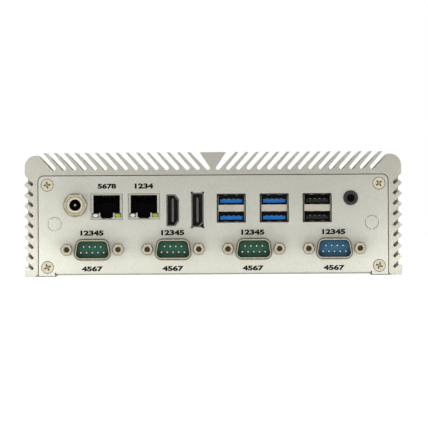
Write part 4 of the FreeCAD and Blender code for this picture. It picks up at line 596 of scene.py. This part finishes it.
# ---- Status lamps
# Two small domed covers of milky moulded plastic beside the button. They are pushed through the rear panel
# from inside, and a rim behind it stops them.

status_lens = lens("status_lens", tone(214, 222, 206), tone(190, 200, 184), glow=0.2)
status_lens.on("status_lamps")


# ---- Printed numbers
# Plain black figures screen-printed on the connector panel over the network jacks and above and below the
# serial ports. The ink stands a few thousandths of a millimetre proud of the metal.

FIGURE_HEIGHT = 2.55 * MM
FIGURE_WEIGHT = 0.05                # of the height, added round each stroke
INK_THICKNESS = 0.008 * MM
JACK_FIGURES = ((-51.5 * MM, "5678"), (-33.5 * MM, "1234"))
JACK_FIGURES_Z = 43.8 * MM
JACK_FIGURES_WIDTH = 9.0 * MM
PORT_FIGURES_X = (-58.9 * MM, -19.7 * MM, 19.2 * MM, 58.5 * MM)
UPPER_FIGURES_Z = 21.1 * MM
UPPER_FIGURES_WIDTH = 11.2 * MM
LOWER_FIGURES_Z = 3.7 * MM
LOWER_FIGURES_WIDTH = 10.3 * MM
panel_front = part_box("io_panel")[0].y


def print_figures(mesh, text, x, z, width):
    """Adds flat figures of that width on the connector panel, with their middle at x, z."""
    curve = bpy.data.curves.new("figures", "FONT")
    curve.body = text
    curve.size = FIGURE_HEIGHT
    curve.offset = FIGURE_WEIGHT * FIGURE_HEIGHT
    curve.extrude = INK_THICKNESS
    curve.resolution_u = 6
    source = bpy.data.objects.new("figures", curve)
    data = bpy.data.meshes.new_from_object(source)
    xs = [v.co.x for v in data.vertices]
    ys = [v.co.y for v in data.vertices]
    scale = (width / (max(xs) - min(xs)), FIGURE_HEIGHT / (max(ys) - min(ys)))
    centre = ((max(xs) + min(xs)) / 2, (max(ys) + min(ys)) / 2)
    for v in data.vertices:
        across = (v.co.x - centre[0]) * scale[0]
        up = (v.co.y - centre[1]) * scale[1]
        v.co = (x + across, panel_front - v.co.z, z + up)
    mesh.from_mesh(data)
    bpy.data.objects.remove(source)
    bpy.data.curves.remove(curve)
    bpy.data.meshes.remove(data)


ink = moulded("printing_ink", tone(24, 24, 22), tone(14, 14, 13), roughness=0.7, spot=0.8 * MM,
              specular=0.1)
figures = bmesh.new()
for x, text in JACK_FIGURES:
    print_figures(figures, text, x, JACK_FIGURES_Z, JACK_FIGURES_WIDTH)
for x in PORT_FIGURES_X:
    print_figures(figures, "12345", x, UPPER_FIGURES_Z, UPPER_FIGURES_WIDTH)
    print_figures(figures, "4567", x, LOWER_FIGURES_Z, LOWER_FIGURES_WIDTH)
piece("port_numbers", figures, ink)


# ---- Floor
# A wide, matt, pale sweep a hair under the case. It glows to the eye and in mirrors alone, so that it looks
# white but casts no light on the case, and the soft shadow under the case stays.

FLOOR_HALF = 15.0
FLOOR_DROP = 0.2 * MM
FLOOR_GLOW = 0.7


def seen_rays(tree):
    """One where a ray comes straight from the eye, from a mirror or through glass, and nought elsewhere."""
    path = tree.nodes.new("ShaderNodeLightPath")
    seen = path.outputs["Is Camera Ray"]
    for ray in ("Is Glossy Ray", "Is Transmission Ray"):
        either = tree.nodes.new("ShaderNodeMath")
        either.operation = "MAXIMUM"
        tree.links.new(seen, either.inputs[0])
        tree.links.new(path.outputs[ray], either.inputs[1])
        seen = either.outputs[0]
    return seen


sweep = bpy.data.materials.new("studio_floor")
sweep.use_nodes = True
sweep_tree = sweep.node_tree
matt = sweep_tree.nodes["Principled BSDF"]
matt.inputs["Base Color"].default_value = (0.8, 0.8, 0.8, 1.0)
matt.inputs["Roughness"].default_value = 0.9
matt.inputs["Specular IOR Level"].default_value = 0.0
glow = sweep_tree.nodes.new("ShaderNodeEmission")
glow_level = sweep_tree.nodes.new("ShaderNodeMath")
glow_level.operation = "MULTIPLY"
glow_level.inputs[1].default_value = FLOOR_GLOW
matt_and_glow = sweep_tree.nodes.new("ShaderNodeAddShader")
sweep_tree.links.new(seen_rays(sweep_tree), glow_level.inputs[0])
sweep_tree.links.new(glow_level.outputs[0], glow.inputs["Strength"])
sweep_tree.links.new(matt.outputs[0], matt_and_glow.inputs[0])
sweep_tree.links.new(glow.outputs[0], matt_and_glow.inputs[1])
sweep_tree.links.new(matt_and_glow.outputs[0], sweep_tree.nodes["Material Output"].inputs["Surface"])

floor_mesh = bmesh.new()
bmesh.ops.create_grid(floor_mesh, x_segments=1, y_segments=1, size=FLOOR_HALF)
floor_data = bpy.data.meshes.new("studio_floor")
floor_mesh.to_mesh(floor_data)
floor_mesh.free()
floor_data.materials.append(sweep)
floor = bpy.data.objects.new("studio_floor", floor_data)
floor.location.z = -FLOOR_DROP
bpy.context.scene.collection.objects.link(floor)


# ---- Light
# A white world for soft light from everywhere, a wide lamp from the front left, one overhead, and two high
# ones that reach in between the fins. Low down, a strip lifts the foot of the connector panel, and a small
# lamp by each corner lifts the ends of the case.

WORLD_LIGHT = 0.445
WORLD_SEEN = 1.0

world = bpy.data.worlds.new("studio")
bpy.context.scene.world = world
world.use_nodes = True
world_tree = world.node_tree
level = world_tree.nodes.new("ShaderNodeMapRange")
level.inputs["To Min"].default_value = WORLD_LIGHT
level.inputs["To Max"].default_value = WORLD_SEEN
background = world_tree.nodes["Background"]
background.inputs["Color"].default_value = (1.0, 1.0, 1.0, 1.0)
world_tree.links.new(seen_rays(world_tree), level.inputs["Value"])
world_tree.links.new(level.outputs["Result"], background.inputs["Strength"])


def lamp(name, place, target, width, height, power, glossy=True):
    """A soft rectangular lamp; one that isn't glossy lights surfaces without showing in their sheen."""
    data = bpy.data.lights.new(name, "AREA")
    data.shape = "RECTANGLE"
    data.size = width
    data.size_y = height
    data.energy = power
    thing = bpy.data.objects.new(name, data)
    thing.location = place
    thing.rotation_euler = (Vector(target) - Vector(place)).to_track_quat("-Z", "Y").to_euler()
    thing.visible_camera = False
    thing.visible_glossy = glossy
    bpy.context.scene.collection.objects.link(thing)


lamp("key", place=(-0.55, -0.95, 0.35), target=(0, 0, 0.03), width=0.6, height=0.5, power=0.3)
lamp("strip", place=(-0.01, -0.085, 0.001), target=(-0.01, -0.065, 0.006), width=0.36, height=0.003,
     power=0.03, glossy=False)
lamp("left", place=(-0.13, -0.11, 0.02), target=(-0.09, -0.065, 0.02), width=0.03, height=0.05,
     power=0.025, glossy=False)
lamp("right", place=(0.11, -0.086, 0.02), target=(0.09, -0.066, 0.02), width=0.02, height=0.05,
     power=0.0045, glossy=False)
lamp("top", place=(0, 0.05, 0.6), target=(0, 0, 0), width=0.6, height=0.4, power=1.2)
for side, name in ((-1, "left_fins"), (1, "right_fins")):
    lamp(name, place=(side * 0.45, 0.2, 0.45), target=(side * 0.05, 0.0, 0.05), width=0.4, height=0.3,
         power=1.0)


# ---- Camera
# Straight at the middle of the connector panel, from far off through a very long lens, so that the fins stand
# clear of each other. It leans a third of a degree to one side.

LENS = 1700.0
SENSOR = 36.0
VIEW_WIDTH = 207.8 * MM
VIEW_MIDDLE_X = 0.4 * MM
VIEW_MIDDLE_Z = 30.0 * MM
ROLL = 0.35                         # degrees
NEAREST = 0.1
FARTHEST = 40.0

camera_data = bpy.data.cameras.new("camera")
camera_data.sensor_width = SENSOR
camera_data.lens = LENS
camera_data.clip_start = NEAREST
camera_data.clip_end = FARTHEST
camera = bpy.data.objects.new("camera", camera_data)
camera.location = (VIEW_MIDDLE_X, panel_front - VIEW_WIDTH * LENS / SENSOR, VIEW_MIDDLE_Z)
camera.rotation_euler = (math.radians(90), math.radians(ROLL), 0)
bpy.context.scene.collection.objects.link(camera)
bpy.context.scene.camera = camera
bpy.context.scene.view_settings.view_transform = "Standard"
